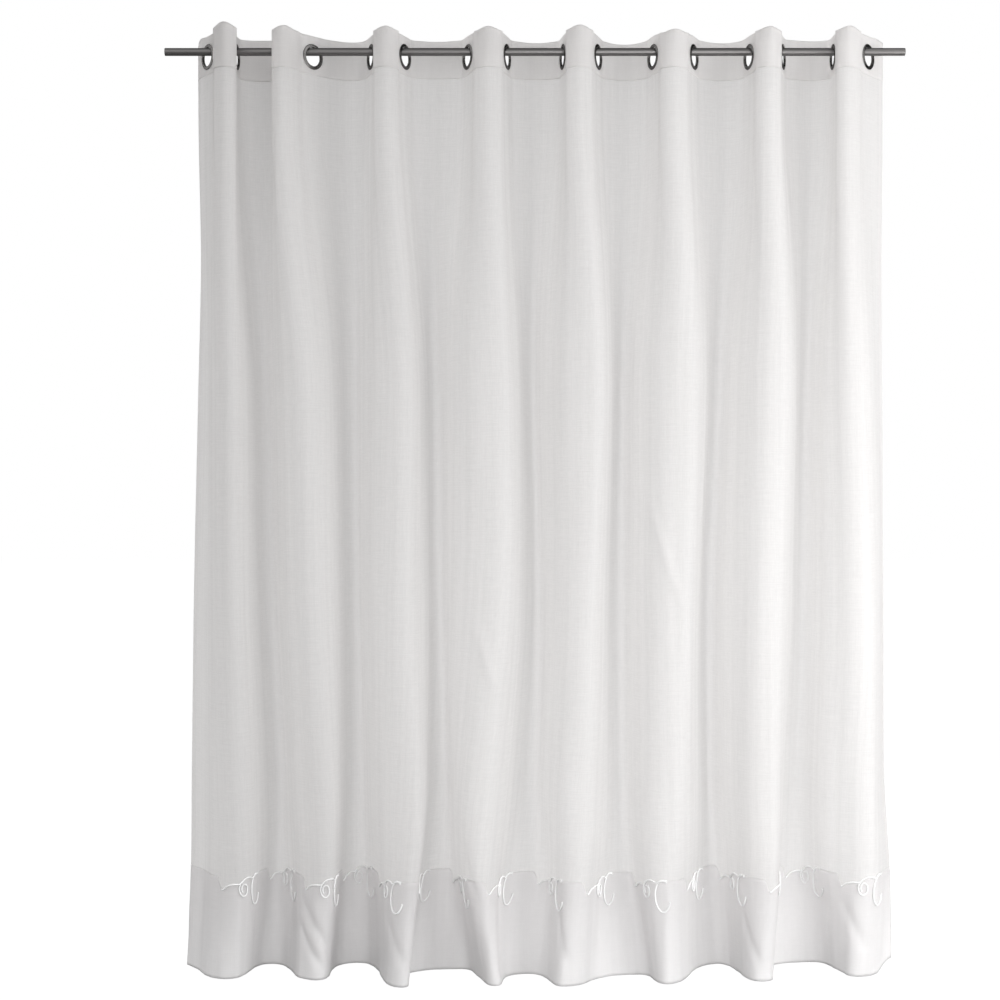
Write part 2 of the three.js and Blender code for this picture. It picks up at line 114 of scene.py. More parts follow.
# The left edge, each ridge and hollow in turn, and the right edge: x at each height, the depth of
# the body and of the hem, how far the crest stays level on each side, and how far a hollow runs in
# under the ridge on its left near the hem
Crest = namedtuple(
    "Crest",
    "upper middle lower low border hem body_depth hem_depth body_left body_right hem_left hem_right "
    "tuck",
)
CRESTS = (
    Crest(-890, -899, -909, -915, -916, -924, 100, 96, 0, 0.5, 0, 0.35, 0),
    Crest(-795, -782, -775, -767, -768, -795, -70, -38, 0.5, 0.5, 0.5, 0.65, 0),
    Crest(-722, -706, -696, -676, -683, -705, 68, 103, 0.35, 0.2, 0.6, 0.6, 0),
    Crest(-621, -595, -570, -542, -538, -559, -70, -48, 0.65, 0.6, 0.7, 0.5, 0),
    Crest(-473, -473, -468, -458, -461, -467, 68, 111, 0.4, 0.15, 0.7, 0.6, 0.5),
    Crest(-342, -337, -333, -307, -315, -340, -76, -112, 0.8, 0.5, 0.6, 0.25, 0),
    Crest(-271, -261, -250, -234, -223, -189, 66, 52, 0.4, 0.15, 0.95, 0.5, 0.8),
    Crest(-91, -83, -91, -127, -139, -101, -76, -100, 0.85, 0.4, 0.5, 0.3, 0),
    Crest(-11, -4, 10, 4, 6, -13, 62, 9, 0.35, 0.15, 0.9, 0.7, 0.3),
    Crest(157, 162, 139, 126, 105, 64, -78, -103, 0.8, 0.4, 0.4, 0.45, 0),
    Crest(238, 232, 227, 230, 239, 282, 64, 3, 0.4, 0.15, 0.8, 0.5, 0),
    Crest(390, 395, 380, 362, 343, 333, -72, -84, 0.8, 0.5, 0.6, 0.5, 0),
    Crest(498, 484, 461, 462, 473, 496, 68, 102, 0.35, 0.2, 0.8, 0.5, -0.2),
    Crest(628, 628, 610, 607, 605, 577, -74, -60, 0.8, 0.45, 0.6, 0.5, 0),
    Crest(736, 720, 710, 703, 710, 758, 72, 117, 0.35, 0.2, 0.95, 0.5, 0.5),
    Crest(805, 825, 850, 857, 857, 836, -58, -17, 0.7, 0.5, 0.6, 0.5, 0),
    Crest(919, 924, 924, 927, 942, 944, 66, 71, 0.35, 0, 0.35, 0, 0),
)

# Softer ridges (positive) and hollows (negative). at and width count crests from the left edge.
Ripple = namedtuple("Ripple", "at width rise top foot")
RIPPLES = (
    Ripple(2.35, 0.16, 12, -700, -2200),
    Ripple(6.7, 0.14, -10, -1000, -1950),
    Ripple(8.65, 0.15, -12, -1000, -1900),
    Ripple(12.55, 0.15, -10, -1200, -2250),
    Ripple(14.4, 0.17, 20, -250, -2300),
)

# How much of a tuck its ridge bulges over it
TUCK_BULGE = 0.25

# Short creases that only the fine cloth has: where each starts and ends, by crest count and
# height, its half width along the cloth, and how far it stands out or sinks in
Crease = namedtuple("Crease", "start_at start_z end_at end_z half_width rise")
CREASES = (
    Crease(6.75, -1500, 7.05, -1660, 14, 5),
    Crease(6.6, -2050, 6.95, -2180, 12, -4),
    Crease(10.6, -1180, 10.9, -1400, 12, 4),
    Crease(2.75, -2215, 3.1, -2330, 13, -6),
    Crease(2.7, -2275, 3.0, -2370, 12, -6),
    Crease(4.75, -2250, 5.0, -2350, 14, -4),
    Crease(8.7, -2230, 8.95, -2340, 14, -5),
    Crease(12.6, -2240, 12.9, -2350, 14, -5),
    Crease(14.7, -2220, 15.1, -2330, 14, -4),
)

# How far a crease fades past its ends and inside them, as shares of its length
CREASE_FADE_PAST = 0.35
CREASE_FADE_INSIDE = 0.25

# Faint waves of the hanging cloth: how far apart they are across it and down it, and how deep
Wave = namedtuple("Wave", "across down depth seed")
BODY_WAVES = (Wave(70, 900, 2.8, 3), Wave(27, 1100, 1.2, 11), Wave(13, 500, 0.3, 23))
BORDER_WAVES = (Wave(48, 120, 2.2, 5), Wave(20, 70, 0.8, 17))

# How far below the heading the waves start, and how far on both sides of the border's edge its
# own waves come in
STILL_TOP = 40
BORDER_WAVE_FADE = 60

# How far along the cloth a sharp bend is eased, and how many times as far the easing looks
SOFT_BEND = 11
EASING_REACH = 3

# Steps of the fine cloth
CLOTH_COLUMNS = 640
VOILE_ROWS = 150
BORDER_ROWS = 32
SURFACE_ROWS = 270
HEADING_ROWS = 22
FLAT_COLUMNS = 14
ARC_COLUMNS = 20
MARGIN_COLUMNS = 10
HOLE_RINGS = 9

# Keeps the last place on the cloth inside its last step
JUST_INSIDE = 1e-6

# Places of the heading that are the same to this many digits are one
SAME_DIGITS = 4

# The border's edge about each scroll: how far along the cloth, and how far above the straight line.
# It drops, rises in a low arch to the curl and in a higher one to the loop, and runs straight on.
SCROLL_EDGE = (
    (-82, 0), (-72, -10), (-64, -33), (-50, -24), (-32, -18), (-14, -17),
    (-4, -8), (8, -3), (20, -4), (30, -8), (42, -2), (58, 0), (72, 0),
)

# Where the cord along it starts and ends
CORD_ENDS = SCROLL_EDGE[2][0], SCROLL_EDGE[-2][0]

# Distance between the scrolls, from the left edge to the first and at least from the last to the
# right edge, and the steps of a scroll's line
SCROLL_PITCH = 197
FIRST_SCROLL = 245
LAST_SCROLL_GAP = SCROLL_PITCH / 3
SCROLL_STEPS = 60

# The curl and the open loop of cord in each scroll: the place of its middle from the scroll's, half its
# width and height, where it starts, in degrees from its right side, how many turns it makes, and
# how much smaller it ends
Curl = namedtuple("Curl", "along above half_width half_height start turns shrink")
CURLS = (
    Curl(-3, -32, 14, 22, 105, 1.35, 0.55),
    Curl(46, -42, 22, 43, 60, 0.78, 0.12),
)

# The cord's steps, in millimetres, and how far from its middle the hollows between its strands
# lie, as a share of its diameter
CORD_STEP = 2.2
CORD_HOLLOW = 0.4

# How far the seams run from the heading's foot, the border's edge and each side hem's inner edge
HEADING_SEAM = 3
BORDER_SEAM = 2
SIDE_SEAM = 2

# How far the seams stop short of the cloth's edges, and how far the side seams stand off it
SEAM_END = 2
SIDE_SEAM_END = 4
SIDE_SEAM_PROUD = 0.6

# How many sides a stitch has, how much of its length is full, and how uneven the stitches are:
# across, out and along
STITCH_SIDES = 6
FULL_STITCH = 0.7
LEAST_STITCH = (0.85, 0.85, 0.88)
MOST_STITCH = (1.15, 1.15, 1.08)

CLOTH_UV = "cloth"
TURN = "turn"


def smoothstep(value, start, end):
    t = np.clip((value - start) / (end - start), 0, 1)
    return t * t * (3 - 2 * t)


def direction(degrees):
    return np.array([math.cos(math.radians(degrees)), math.sin(math.radians(degrees))])


def solve(f, target, low, high):
    """The value at which a rising function reaches the target."""
    for _ in range(SOLVE_STEPS):
        middle = (low + high) / 2
        if f(middle) < target:
            low = middle
        else:
            high = middle
    return (low + high) / 2


def bezier(start, leave, arrive, end, steps):
    """Points along a cubic curve, or along each curve of a stack."""
    t = np.linspace(0, 1, steps + 1)[:, None]
    start, leave, arrive, end = (
        np.asarray(p, float)[..., None, :] for p in (start, leave, arrive, end)
    )
    return (
        (1 - t) ** 3 * start
        + 3 * (1 - t) ** 2 * t * leave
        + 3 * (1 - t) * t**2 * arrive
        + t**3 * end
    )


def lengths_along(points):
    """The length from the first point to each point of a line, or of each line of a stack."""
    steps = np.linalg.norm(np.diff(points, axis=-2), axis=-1)
    return np.concatenate([np.zeros(steps.shape[:-1] + (1,)), np.cumsum(steps, axis=-1)], axis=-1)


def points_at(line, lengths, where):
    """Points of a line at lengths along it."""
    columns = [np.interp(where, lengths, line[:, k]) for k in range(line.shape[1])]
    return np.stack(columns, axis=-1)


def through(knots, values, where):
    """A smooth line through values given at rising knots."""
    knots = np.asarray(knots, float)
    values = np.asarray(values, float)
    shape = (-1,) + (1,) * (values.ndim - 1)
    slopes = np.zeros_like(values)
    slopes[1:-1] = (values[2:] - values[:-2]) / (knots[2:] - knots[:-2]).reshape(shape)
    slopes[-1] = (values[-1] - values[-2]) / (knots[-1] - knots[-2])
    where = np.clip(where, knots[0], knots[-1])
    i = np.clip(np.searchsorted(knots, where, side="right") - 1, 0, len(knots) - 2)
    span = knots[i + 1] - knots[i]
    t = (where - knots[i]) / span
    return (
        (2 * t**3 - 3 * t**2 + 1) * values[i]
        + (t**3 - 2 * t**2 + t) * span * slopes[i]
        + (3 * t**2 - 2 * t**3) * values[i + 1]
        + (t**3 - t**2) * span * slopes[i + 1]
    )


# Eyelets in order, each with the direction in which the cloth runs through it
Eyelet = namedtuple("Eyelet", "x turn")
EYELETS = tuple(
    eyelet
    for fold in FOLDS
    for eyelet in (Eyelet(fold.left, -fold.left_turn), Eyelet(fold.right, fold.right_turn))
)


def along(eyelet, distance):
    return np.array([eyelet.x, 0]) + distance * direction(eyelet.turn)


def softened(points, length, share):
    """A line of evenly spaced points with its bends eased by a share at each point."""
    step = length / (len(points) - 1)
    reach = math.ceil(EASING_REACH * SOFT_BEND / step)
    weights = np.exp(-((np.arange(-reach, reach + 1) * step / SOFT_BEND) ** 2) / 2)
    before = 2 * points[0] - points[reach:0:-1]
    after = 2 * points[-1] - points[-2:-reach - 2:-1]
    longer = np.concatenate([before, points, after])
    eased = [np.convolve(part, weights / weights.sum(), "valid") for part in longer.T]
    return points + share * (np.stack(eased, axis=-1) - points)


def turning(start, length, turn_at):
    """Points at even steps along a line that turns by the given function of its share."""
    turns = np.radians(turn_at((np.arange(FINE_STEPS) + 0.5) / FINE_STEPS))
    steps = np.stack([np.cos(turns), np.sin(turns)], axis=-1) * length / FINE_STEPS
    return start + np.concatenate([np.zeros((1, 2)), np.cumsum(steps, axis=0)])


def swelling(share):
    """How much further than evenly a loop that swells has turned at a share of its length."""
    swing = 2 * math.pi * share
    return np.sin(swing) + np.sin(2 * swing) / 2 + np.sin(3 * swing) / 3


def loop_between(first, second):
    """The loop of cloth between two eyelets, as long as the pitch leaves for it. Its bend is even
    but for a swell and a lean to one side, which bring its end to the second eyelet."""
    start, end = along(first, FLAT_HALF), along(second, -FLAT_HALF)

    def loop(shape):
        swell, lean = shape

        def turn_at(share):
            even = first.turn + share * (second.turn - first.turn)
            return even + swell * swelling(share) + lean * np.sin(math.pi * share) ** 2

        return turning(start, PITCH - 2 * FLAT_HALF, turn_at)

    shape = np.zeros(2)
    for _ in range(SOLVE_STEPS):
        miss = loop(shape)[-1] - end
        change = [loop(shape + step)[-1] - end - miss for step in np.eye(2)]
        shape = shape - np.linalg.solve(np.array(change).T, miss)
    return loop(shape)


def margin(eyelet, length, side, edge_turn):
    """The free cloth outside an end eyelet, bending evenly to its edge."""

    def turn_at(share):
        return eyelet.turn + (edge_turn - eyelet.turn) * share

    return turning(along(eyelet, side * FLAT_HALF), side * (length - FLAT_HALF), turn_at)


def heading_line():
    """The heading's plan, with the flats at the eyelets left straight."""
    loops = [loop_between(a, b) for a, b in zip(EYELETS, EYELETS[1:])]
    left = margin(EYELETS[0], LEFT_MARGIN, -1, -LEFT_EDGE_TURN)[::-1]
    right = margin(EYELETS[-1], RIGHT_MARGIN, 1, EYELETS[-1].turn)
    return np.concatenate([left, *loops, right])


HEADING = heading_line()
HEADING_LENGTHS = lengths_along(HEADING)
CLOTH_WIDTH = HEADING_LENGTHS[-1]


def heading_crests():
    """Lengths along the heading of the left edge, each ridge and hollow, and the right edge."""
    crests = [0]
    for i in range(len(EYELETS) - 1):
        start = LEFT_MARGIN + i * PITCH
        inside = (HEADING_LENGTHS > start) & (HEADING_LENGTHS < start + PITCH)
        depth = HEADING[inside, 1] * (1 if i % 2 == 0 else -1)
        crests.append(HEADING_LENGTHS[inside][np.argmin(depth)])
    return np.array([*crests, CLOTH_WIDTH])


HEADING_CRESTS = heading_crests()
HEADING_CREST_POINTS = points_at(HEADING, HEADING_LENGTHS, HEADING_CRESTS)


def crests_at(z):
    """Where each crest lies in plan at height z."""
    drops = -np.array([HEADING_FOOT, *HEIGHTS])
    across = np.array([crest[:len(HEIGHTS)] for crest in CRESTS]).T
    x = through(drops, np.vstack([HEADING_CREST_POINTS[:, 0], across]), -z)
    depth_drops = -np.array([HEADING_FOOT, UPPER, LOWER, HEM])
    body = [crest.body_depth for crest in CRESTS]
    hem = [crest.hem_depth for crest in CRESTS]
    y = through(depth_drops, np.vstack([HEADING_CREST_POINTS[:, 1], body, body, hem]), -z)
    return np.stack([x, y], axis=-1)


def flanks_at(z):
    """The plan at height z, as one line for each gap between crests. The depth of the folds is
    scaled so that the cloth keeps its width."""
    crests = crests_at(z)
    middle = crests[:, 1].mean()
    table = Crest(*np.array(CRESTS).T[..., None])
    hem = smoothstep(-z, -LOW, -HEM)
    left = table.body_left + hem * (table.hem_left - table.body_left)
    right = table.body_right + hem * (table.hem_right - table.body_right)
    tucks = table.tuck[1:] * smoothstep(-z, -LOWER, -BORDER)

    def flanks(scale):
        deep = np.column_stack([crests[:, 0], middle + scale * (crests[:, 1] - middle)])
        start, end = deep[:-1], deep[1:]
        level = (end - start) * [1, 0]
        leave = start + (right[:-1] + TUCK_BULGE * tucks) * level
        arrive = end - (left[1:] + tucks) * level
        leave[0] = start[0] + right[0] * (end[0] - start[0])
        arrive[-1] = end[-1] - left[-1] * (end[-1] - start[-1])
        return bezier(start, leave, arrive, end, FINE_STEPS)

    def width(scale):
        return lengths_along(flanks(scale))[:, -1].sum()

    return flanks(solve(width, CLOTH_WIDTH, LEAST_DEPTH_SCALE, MOST_DEPTH_SCALE))


def ripple_at(place, z):
    """How far the softer ridges and hollows stand out."""
    total = np.zeros_like(place)
    for ripple in RIPPLES:
        across = np.exp(-(((place - ripple.at) / ripple.width) ** 2))
        start = smoothstep(-z, -ripple.top, -ripple.top + RIPPLE_FADE)
        end = 1 - smoothstep(-z, -ripple.foot - RIPPLE_FADE, -ripple.foot)
        total += ripple.rise * across * start * end
    return total


def cloth_row(z, columns):
    """x, y and crest count of the cloth at height z, at lengths along it."""
    share = np.linspace(0, 1, FINE_STEPS + 1)
    settled = smoothstep(-z, -HEADING_FOOT, -MIDDLE)
    line, places = [], []
    for i, flank in enumerate(flanks_at(z)):
        lengths = lengths_along(flank)
        body = points_at(flank, lengths, share * lengths[-1])
        top_lengths = HEADING_CRESTS[i] + share * (HEADING_CRESTS[i + 1] - HEADING_CRESTS[i])
        top = points_at(HEADING, HEADING_LENGTHS, top_lengths)
        first = 0 if i == 0 else 1
        line.append((top + settled * (body - top))[first:])
        places.append((i + share)[first:])
    line, places = np.concatenate(line), np.concatenate(places)
    line[:, 1] -= ripple_at(places, z)
    lengths = lengths_along(line)
    lengths *= CLOTH_WIDTH / lengths[-1]
    row = points_at(np.column_stack([line, places]), lengths, columns)
    return softened(row, CLOTH_WIDTH, settled)


def normals_of(points):
    """Unit normals of a grid of points, on the side of the curtain's front."""
    across = np.gradient(points, axis=1)
    down = np.gradient(points, axis=0)
    normals = np.cross(down, across)
    return normals / np.linalg.norm(normals, axis=-1, keepdims=True)


def wave_at(waves, u, z):
    """Faint uneven waves at each point of a grid of lengths and heights."""
    total = np.zeros(u.shape)
    for wave in waves:
        spots = zip((u / wave.across).ravel(), (z / wave.down).ravel())
        values = [noise.noise(Vector((a, b, wave.seed))) for a, b in spots]
        total += wave.depth * np.array(values).reshape(u.shape)
    return total


def crease_at(u, z, places):
    """How far the short creases stand out."""
    total = np.zeros(u.shape)
    for crease in CREASES:
        row = int(np.argmin(np.abs(z[:, 0] - (crease.start_z + crease.end_z) / 2)))
        start_u, end_u = np.interp([crease.start_at, crease.end_at], places[row], u[row])
        way = np.array([end_u - start_u, crease.end_z - crease.start_z])
        length = np.linalg.norm(way)
        way /= length
        share = ((u - start_u) * way[0] + (z - crease.start_z) * way[1]) / length
        off = (u - start_u) * way[1] - (z - crease.start_z) * way[0]
        start = smoothstep(share, -CREASE_FADE_PAST, CREASE_FADE_INSIDE)
        end = 1 - smoothstep(share, 1 - CREASE_FADE_INSIDE, 1 + CREASE_FADE_PAST)
        ends = start * end
        total += crease.rise * ends * np.exp(-((off / crease.half_width) ** 2))
    return total


Surface = namedtuple("Surface", "columns heights points normals")


@functools.lru_cache(maxsize=1)
def cloth_surface():
    """The cloth below the heading as a fine grid of points and normals, in millimetres."""
    columns = np.linspace(0, CLOTH_WIDTH, CLOTH_COLUMNS + 1)
    heights = np.linspace(HEADING_FOOT, HEM_FOOT, SURFACE_ROWS + 1)
    rows = np.array([cloth_row(z, columns) for z in heights])
    u, z = np.meshgrid(columns, heights)
    places = rows[..., 2]
    points = np.stack([rows[..., 0], rows[..., 1], z], axis=-1)
    below = smoothstep(-z, -HEADING_FOOT + STILL_TOP, -UPPER)
    border = smoothstep(-z, -BORDER_TOP - BORDER_WAVE_FADE, -BORDER_TOP + BORDER_WAVE_FADE)
    rise = below * wave_at(BODY_WAVES, u, z) + border * wave_at(BORDER_WAVES, u, z)
    points += (rise + crease_at(u, z, places))[..., None] * normals_of(points)
    corner = smoothstep(places, len(CRESTS) - 1 - CORNER_WIDTH, len(CRESTS) - 1)
    points[..., 2] += CORNER_LIFT * corner * smoothstep(-z, -HEM_FOOT - CORNER_HEIGHT, -HEM_FOOT)
    return Surface(columns, heights, points, normals_of(points))


def on_cloth(u, z, proud=0.0):
    """Points of the cloth at lengths along it and heights, and how far they stand off its front."""
    surface = cloth_surface()
    column = np.clip(u / CLOTH_WIDTH * CLOTH_COLUMNS, 0, CLOTH_COLUMNS - JUST_INSIDE)
    row = (surface.heights[0] - z) / (surface.heights[0] - surface.heights[-1]) * SURFACE_ROWS
    row = np.clip(row, 0, SURFACE_ROWS - JUST_INSIDE)
    i, j = row.astype(int), column.astype(int)
    down, across = (row - i)[..., None], (column - j)[..., None]

    def blend(grid):
        upper = grid[i, j] * (1 - across) + grid[i, j + 1] * across
        lower = grid[i + 1, j] * (1 - across) + grid[i + 1, j + 1] * across
        return upper * (1 - down) + lower * down

    return blend(surface.points) + proud * blend(surface.normals)


def scroll_centres():
    """Lengths along the cloth of the scrolls' middles, the last one clear of the right edge."""
    count = int((CLOTH_WIDTH - FIRST_SCROLL - LAST_SCROLL_GAP) // SCROLL_PITCH) + 1
    return FIRST_SCROLL + SCROLL_PITCH * np.arange(count)


def border_edge(u):
    """Height of the border's top edge at lengths along the cloth."""
    along_edge, above = zip(*SCROLL_EDGE)
    total = np.full(np.shape(u), float(BORDER_TOP))
    for centre in scroll_centres():
        total += through(along_edge, above, u - centre)
    return total


def heading_top(u):
    """Height of the heading's top edge at lengths along it. It also droops on both sides of each
    ridge, so that the ridge's top is round, and comes up again to the hollow."""
    total = np.full(np.shape(u), float(HEADING_TOP))
    dips = [dip for fold in FOLDS for dip in (fold.dip, fold.hollow_dip)]
    for i, dip in enumerate(dips):
        off = np.abs(u - LEFT_MARGIN - (i + 0.5) * PITCH)
        total -= dip * smoothstep(PITCH / 2 - off, 0, PITCH / 2)
    from_right = CLOTH_WIDTH - u
    total -= LEFT_CORNER_DIP * smoothstep(LEFT_MARGIN - u, FLAT_HALF, LEFT_MARGIN)
    total -= RIGHT_CORNER_DIP * smoothstep(RIGHT_MARGIN - from_right, FLAT_HALF, RIGHT_MARGIN)
    loop = np.clip((u - LEFT_MARGIN) // PITCH, 0, len(EYELETS) - 2)
    off = np.abs(u - LEFT_MARGIN - (loop + 0.5) * PITCH)
    shoulder = smoothstep(off, 0, np.where(loop % 2 == 0, SHOULDER_REACH, PITCH / 2))
    inside = smoothstep(u, 0, LEFT_MARGIN) * smoothstep(from_right, 0, RIGHT_MARGIN)
    total -= SHOULDER_DROOP * shoulder * inside
    return total


# Meshes


def mesh_object(name, vertices, faces, uvs=None, edges=()):
    """A new object from vertices in millimetres, smooth, with a UV map in metres of cloth."""
    mesh = bpy.data.meshes.new(name)
    mesh.from_pydata((np.asarray(vertices) * MM).tolist(), list(edges), faces)
    mesh.validate()
    mesh.polygons.foreach_set("use_smooth", [True] * len(mesh.polygons))
    if uvs is not None:
        corners = np.zeros(len(mesh.loops), np.int32)
        mesh.loops.foreach_get("vertex_index", corners)
        layer = mesh.uv_layers.new(name=CLOTH_UV)
        layer.data.foreach_set("uv", (np.asarray(uvs)[corners] * MM).ravel())
    mesh.update()
    thing = bpy.data.objects.new(name, mesh)
    bpy.context.scene.collection.objects.link(thing)
    return thing


def grid_faces(rows, columns):
    """Quads of a grid counted from its top left, facing the curtain's front."""
    corner = np.arange(rows * columns).reshape(rows, columns)
    quads = [corner[1:, :-1], corner[1:, 1:], corner[:-1, 1:], corner[:-1, :-1]]
    return np.stack(quads, axis=-1).reshape(-1, 4).tolist()


def cloth_object(name, u, z):
    """A sheet of the cloth over a grid of lengths and heights."""
    uvs = np.stack([u, z], axis=-1).reshape(-1, 2)
    return mesh_object(name, on_cloth(u, z).reshape(-1, 3), grid_faces(*u.shape), uvs)


def path_object(name, lines):
    """Open lines of points, as edges alone."""
    vertices, edges = [], []
    for line in lines:
        first = len(vertices)
        vertices.extend(line)
        edges.extend((first + k, first + k + 1) for k in range(len(line) - 1))
    return mesh_object(name, vertices, [], edges=edges)


def revolved(name, outline, sides):
    """A closed outline of (radius, along) turned about the Y axis."""
    outline = np.asarray(outline, float)
    turn = np.linspace(0, 2 * math.pi, sides, endpoint=False)[:, None]
    radius, depth = outline[:, 0][None], outline[:, 1][None]
    x, z = radius * np.cos(turn), radius * np.sin(turn)
    vertices = np.stack([x, np.broadcast_to(depth, x.shape), z], axis=-1).reshape(-1, 3)
    count = len(outline)
    faces = []
    for i in range(sides):
        for k in range(count):
            a, b = i * count + k, i * count + (k + 1) % count
            c, d = (i + 1) % sides * count + (k + 1) % count, (i + 1) % sides * count + k
            faces.append((a, b, c, d))
    return mesh_object(name, vertices, faces)


def plain_mesh(source, name):
    """The object's shape with its modifiers applied, in an object of its own."""
    graph = bpy.context.evaluated_depsgraph_get()
    mesh = bpy.data.meshes.new_from_object(
        source.evaluated_get(graph), preserve_all_data_layers=True, depsgraph=graph
    )
    bpy.data.objects.remove(source)
    mesh.name = name
    thing = bpy.data.objects.new(name, mesh)
    bpy.context.scene.collection.objects.link(thing)
    return thing


def thickened(thing, thickness):
    """The sheet as a closed shell about its middle."""
    name = thing.name
    thing.name = name + "_middle"
    shell = thing.modifiers.new("thickness", "SOLIDIFY")
    shell.thickness = thickness
    shell.offset = 0
    return plain_mesh(thing, name)


def from_nodes(source, tree, name, **inputs):
    """Runs a node tree on the source, with its named inputs set, and keeps the plain result."""
    modifier = source.modifiers.new("shape", "NODES")
    modifier.node_group = tree
    for item in tree.interface.items_tree:
        if item.item_type == "SOCKET" and item.in_out == "INPUT" and item.name in inputs:
            modifier[item.identifier] = inputs[item.name]
    return plain_mesh(source, name)


def settle(thing, material, slot, *replaced):
    """Gives the piece its material and body, and the CAD nodes that it stands for. slot is not used."""
    thing.data.materials.clear()
    thing.data.materials.append(material)
    if replaced:
        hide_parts(*replaced)
    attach(thing, "root")


# Node trees

NODE_GAP = 200


class Nodes:
    """Adds nodes to an empty tree, each with its settings and what its inputs get."""

    def __init__(self, tree):
        self.tree = tree
        tree.nodes.clear()

    def add(self, kind, inputs=None, **settings):
        made = self.tree.nodes.new(kind)
        made.location = (NODE_GAP * len(self.tree.nodes), 0)
        for name, value in settings.items():
            setattr(made, name, value)
        for name, value in (inputs or {}).items():
            if isinstance(value, bpy.types.NodeSocket):
                self.tree.links.new(value, made.inputs[name])
            else:
                made.inputs[name].default_value = value
        return made.outputs[0] if len(made.outputs) else made

    def maths(self, operation, *values):
        return self.add("ShaderNodeMath", dict(enumerate(values)), operation=operation)


def shape_tree(name, **sockets):
    """A geometry tree with named inputs, each given with its socket's kind."""
    tree = bpy.data.node_groups.new(name, "GeometryNodeTree")
    nodes = Nodes(tree)
    tree.interface.new_socket("Geometry", in_out="OUTPUT", socket_type="NodeSocketGeometry")
    tree.interface.new_socket("Geometry", in_out="INPUT", socket_type="NodeSocketGeometry")
    for label, kind in sockets.items():
        tree.interface.new_socket(label, in_out="INPUT", socket_type="NodeSocket" + kind)
    given = tree.nodes.new("NodeGroupInput").outputs
    return nodes, given


def finish_tree(nodes, shape, material):
    """Ends a geometry tree: the instances made real, then the material."""
    real = nodes.add("GeometryNodeRealizeInstances", {"Geometry": shape})
    coloured = nodes.add("GeometryNodeSetMaterial", {"Geometry": real, "Material": material})
    nodes.add("NodeGroupOutput", {"Geometry": coloured})
    return nodes.tree


def stitch_tree():
    """Stitches in a row along each line, a pitch apart, each a little uneven."""
    nodes, given = shape_tree(
        "stitch_rows", Pitch="Float", Stitch="Object", Seed="Int", Thread="Material"
    )
    curve = nodes.add("GeometryNodeMeshToCurve", {"Mesh": given["Geometry"]})
    spots = nodes.add(
        "GeometryNodeCurveToPoints", {"Curve": curve, "Length": given["Pitch"]}, mode="LENGTH"
    ).node
    stitch = nodes.add("GeometryNodeObjectInfo", {"Object": given["Stitch"]}).node
    uneven = nodes.add(
        "FunctionNodeRandomValue",
        {"Min": LEAST_STITCH, "Max": MOST_STITCH, "Seed": given["Seed"]},
        data_type="FLOAT_VECTOR",
    )
    rows = nodes.add(
        "GeometryNodeInstanceOnPoints",
        {
            "Points": spots.outputs["Points"],
            "Instance": stitch.outputs["Geometry"],
            "Rotation": spots.outputs["Rotation"],
            "Scale": uneven,
        },
    )
    return finish_tree(nodes, rows, given["Thread"])


def cord_tree():
    """A cord of three twisted strands along each line."""
    nodes, given = shape_tree(
        "twisted_cord", Diameter="Float", Twist="Float", Step="Float", Cord="Material"
    )
    curve = nodes.add("GeometryNodeMeshToCurve", {"Mesh": given["Geometry"]})
    even = nodes.add(
        "GeometryNodeResampleCurve", {"Curve": curve, "Length": given["Step"]}, mode="LENGTH"
    )
    reached = nodes.add("GeometryNodeSplineParameter").node.outputs["Length"]
    turns = nodes.maths("DIVIDE", reached, given["Twist"])
    tilt = nodes.maths("MULTIPLY", turns, 2 * math.pi)
    twisted = nodes.add("GeometryNodeSetCurveTilt", {"Curve": even, "Tilt": tilt})
    outer = nodes.maths("MULTIPLY", given["Diameter"], 0.5)
    inner = nodes.maths("MULTIPLY", given["Diameter"], CORD_HOLLOW)
    strands = nodes.add(
        "GeometryNodeCurveStar", {"Points": 3, "Inner Radius": inner, "Outer Radius": outer}
    )
    tube = nodes.add(
        "GeometryNodeCurveToMesh",
        {"Curve": twisted, "Profile Curve": strands, "Fill Caps": True},
    )
    smooth = nodes.add("GeometryNodeSetShadeSmooth", {"Geometry": tube})
    return finish_tree(nodes, smooth, given["Cord"])


def eyelet_tree():
    """A ring on each point, turned with the cloth that it grips."""
    nodes, given = shape_tree("eyelet_rings", Ring="Object", Steel="Material")
    ring = nodes.add("GeometryNodeObjectInfo", {"Object": given["Ring"]}).node
    turn = nodes.add("GeometryNodeInputNamedAttribute", {"Name": TURN}, data_type="FLOAT")
    way = nodes.add("ShaderNodeCombineXYZ", {"Z": turn})
    points = nodes.add("GeometryNodeMeshToPoints", {"Mesh": given["Geometry"]})
    rings = nodes.add(
        "GeometryNodeInstanceOnPoints",
        {"Points": points, "Instance": ring.outputs["Geometry"], "Rotation": way},
    )
    return finish_tree(nodes, rings, given["Steel"])


# Materials

# How far the weave varies the cover, as a share of its distance from none or all, and the cover
# of the doubled side hems
COVER_SPREAD = 0.5
HEM_COVER = 0.97

# The darkest shares of a colour in yarn and in steel, and how much smoother and rougher than its
# own roughness the scratches make the steel
DARKEST_YARN = 0.86
DARKEST_STEEL = 0.8
SMOOTHER_SCRATCH = 0.08
ROUGHER_SCRATCH = 0.1

# The roughness of the cord and of the sewing thread
CORD_ROUGHNESS = 0.8
THREAD_ROUGHNESS = 0.7

# The size of the steel's scratches along each axis, in metres
ROD_GRAIN = (0.12, 0.0008, 0.0008)
EYELET_GRAIN = (0.004, 0.004, 0.004)


def new_material(name):
    material = bpy.data.materials.new(name)
    material.use_nodes = True
    return material, Nodes(material.node_tree)


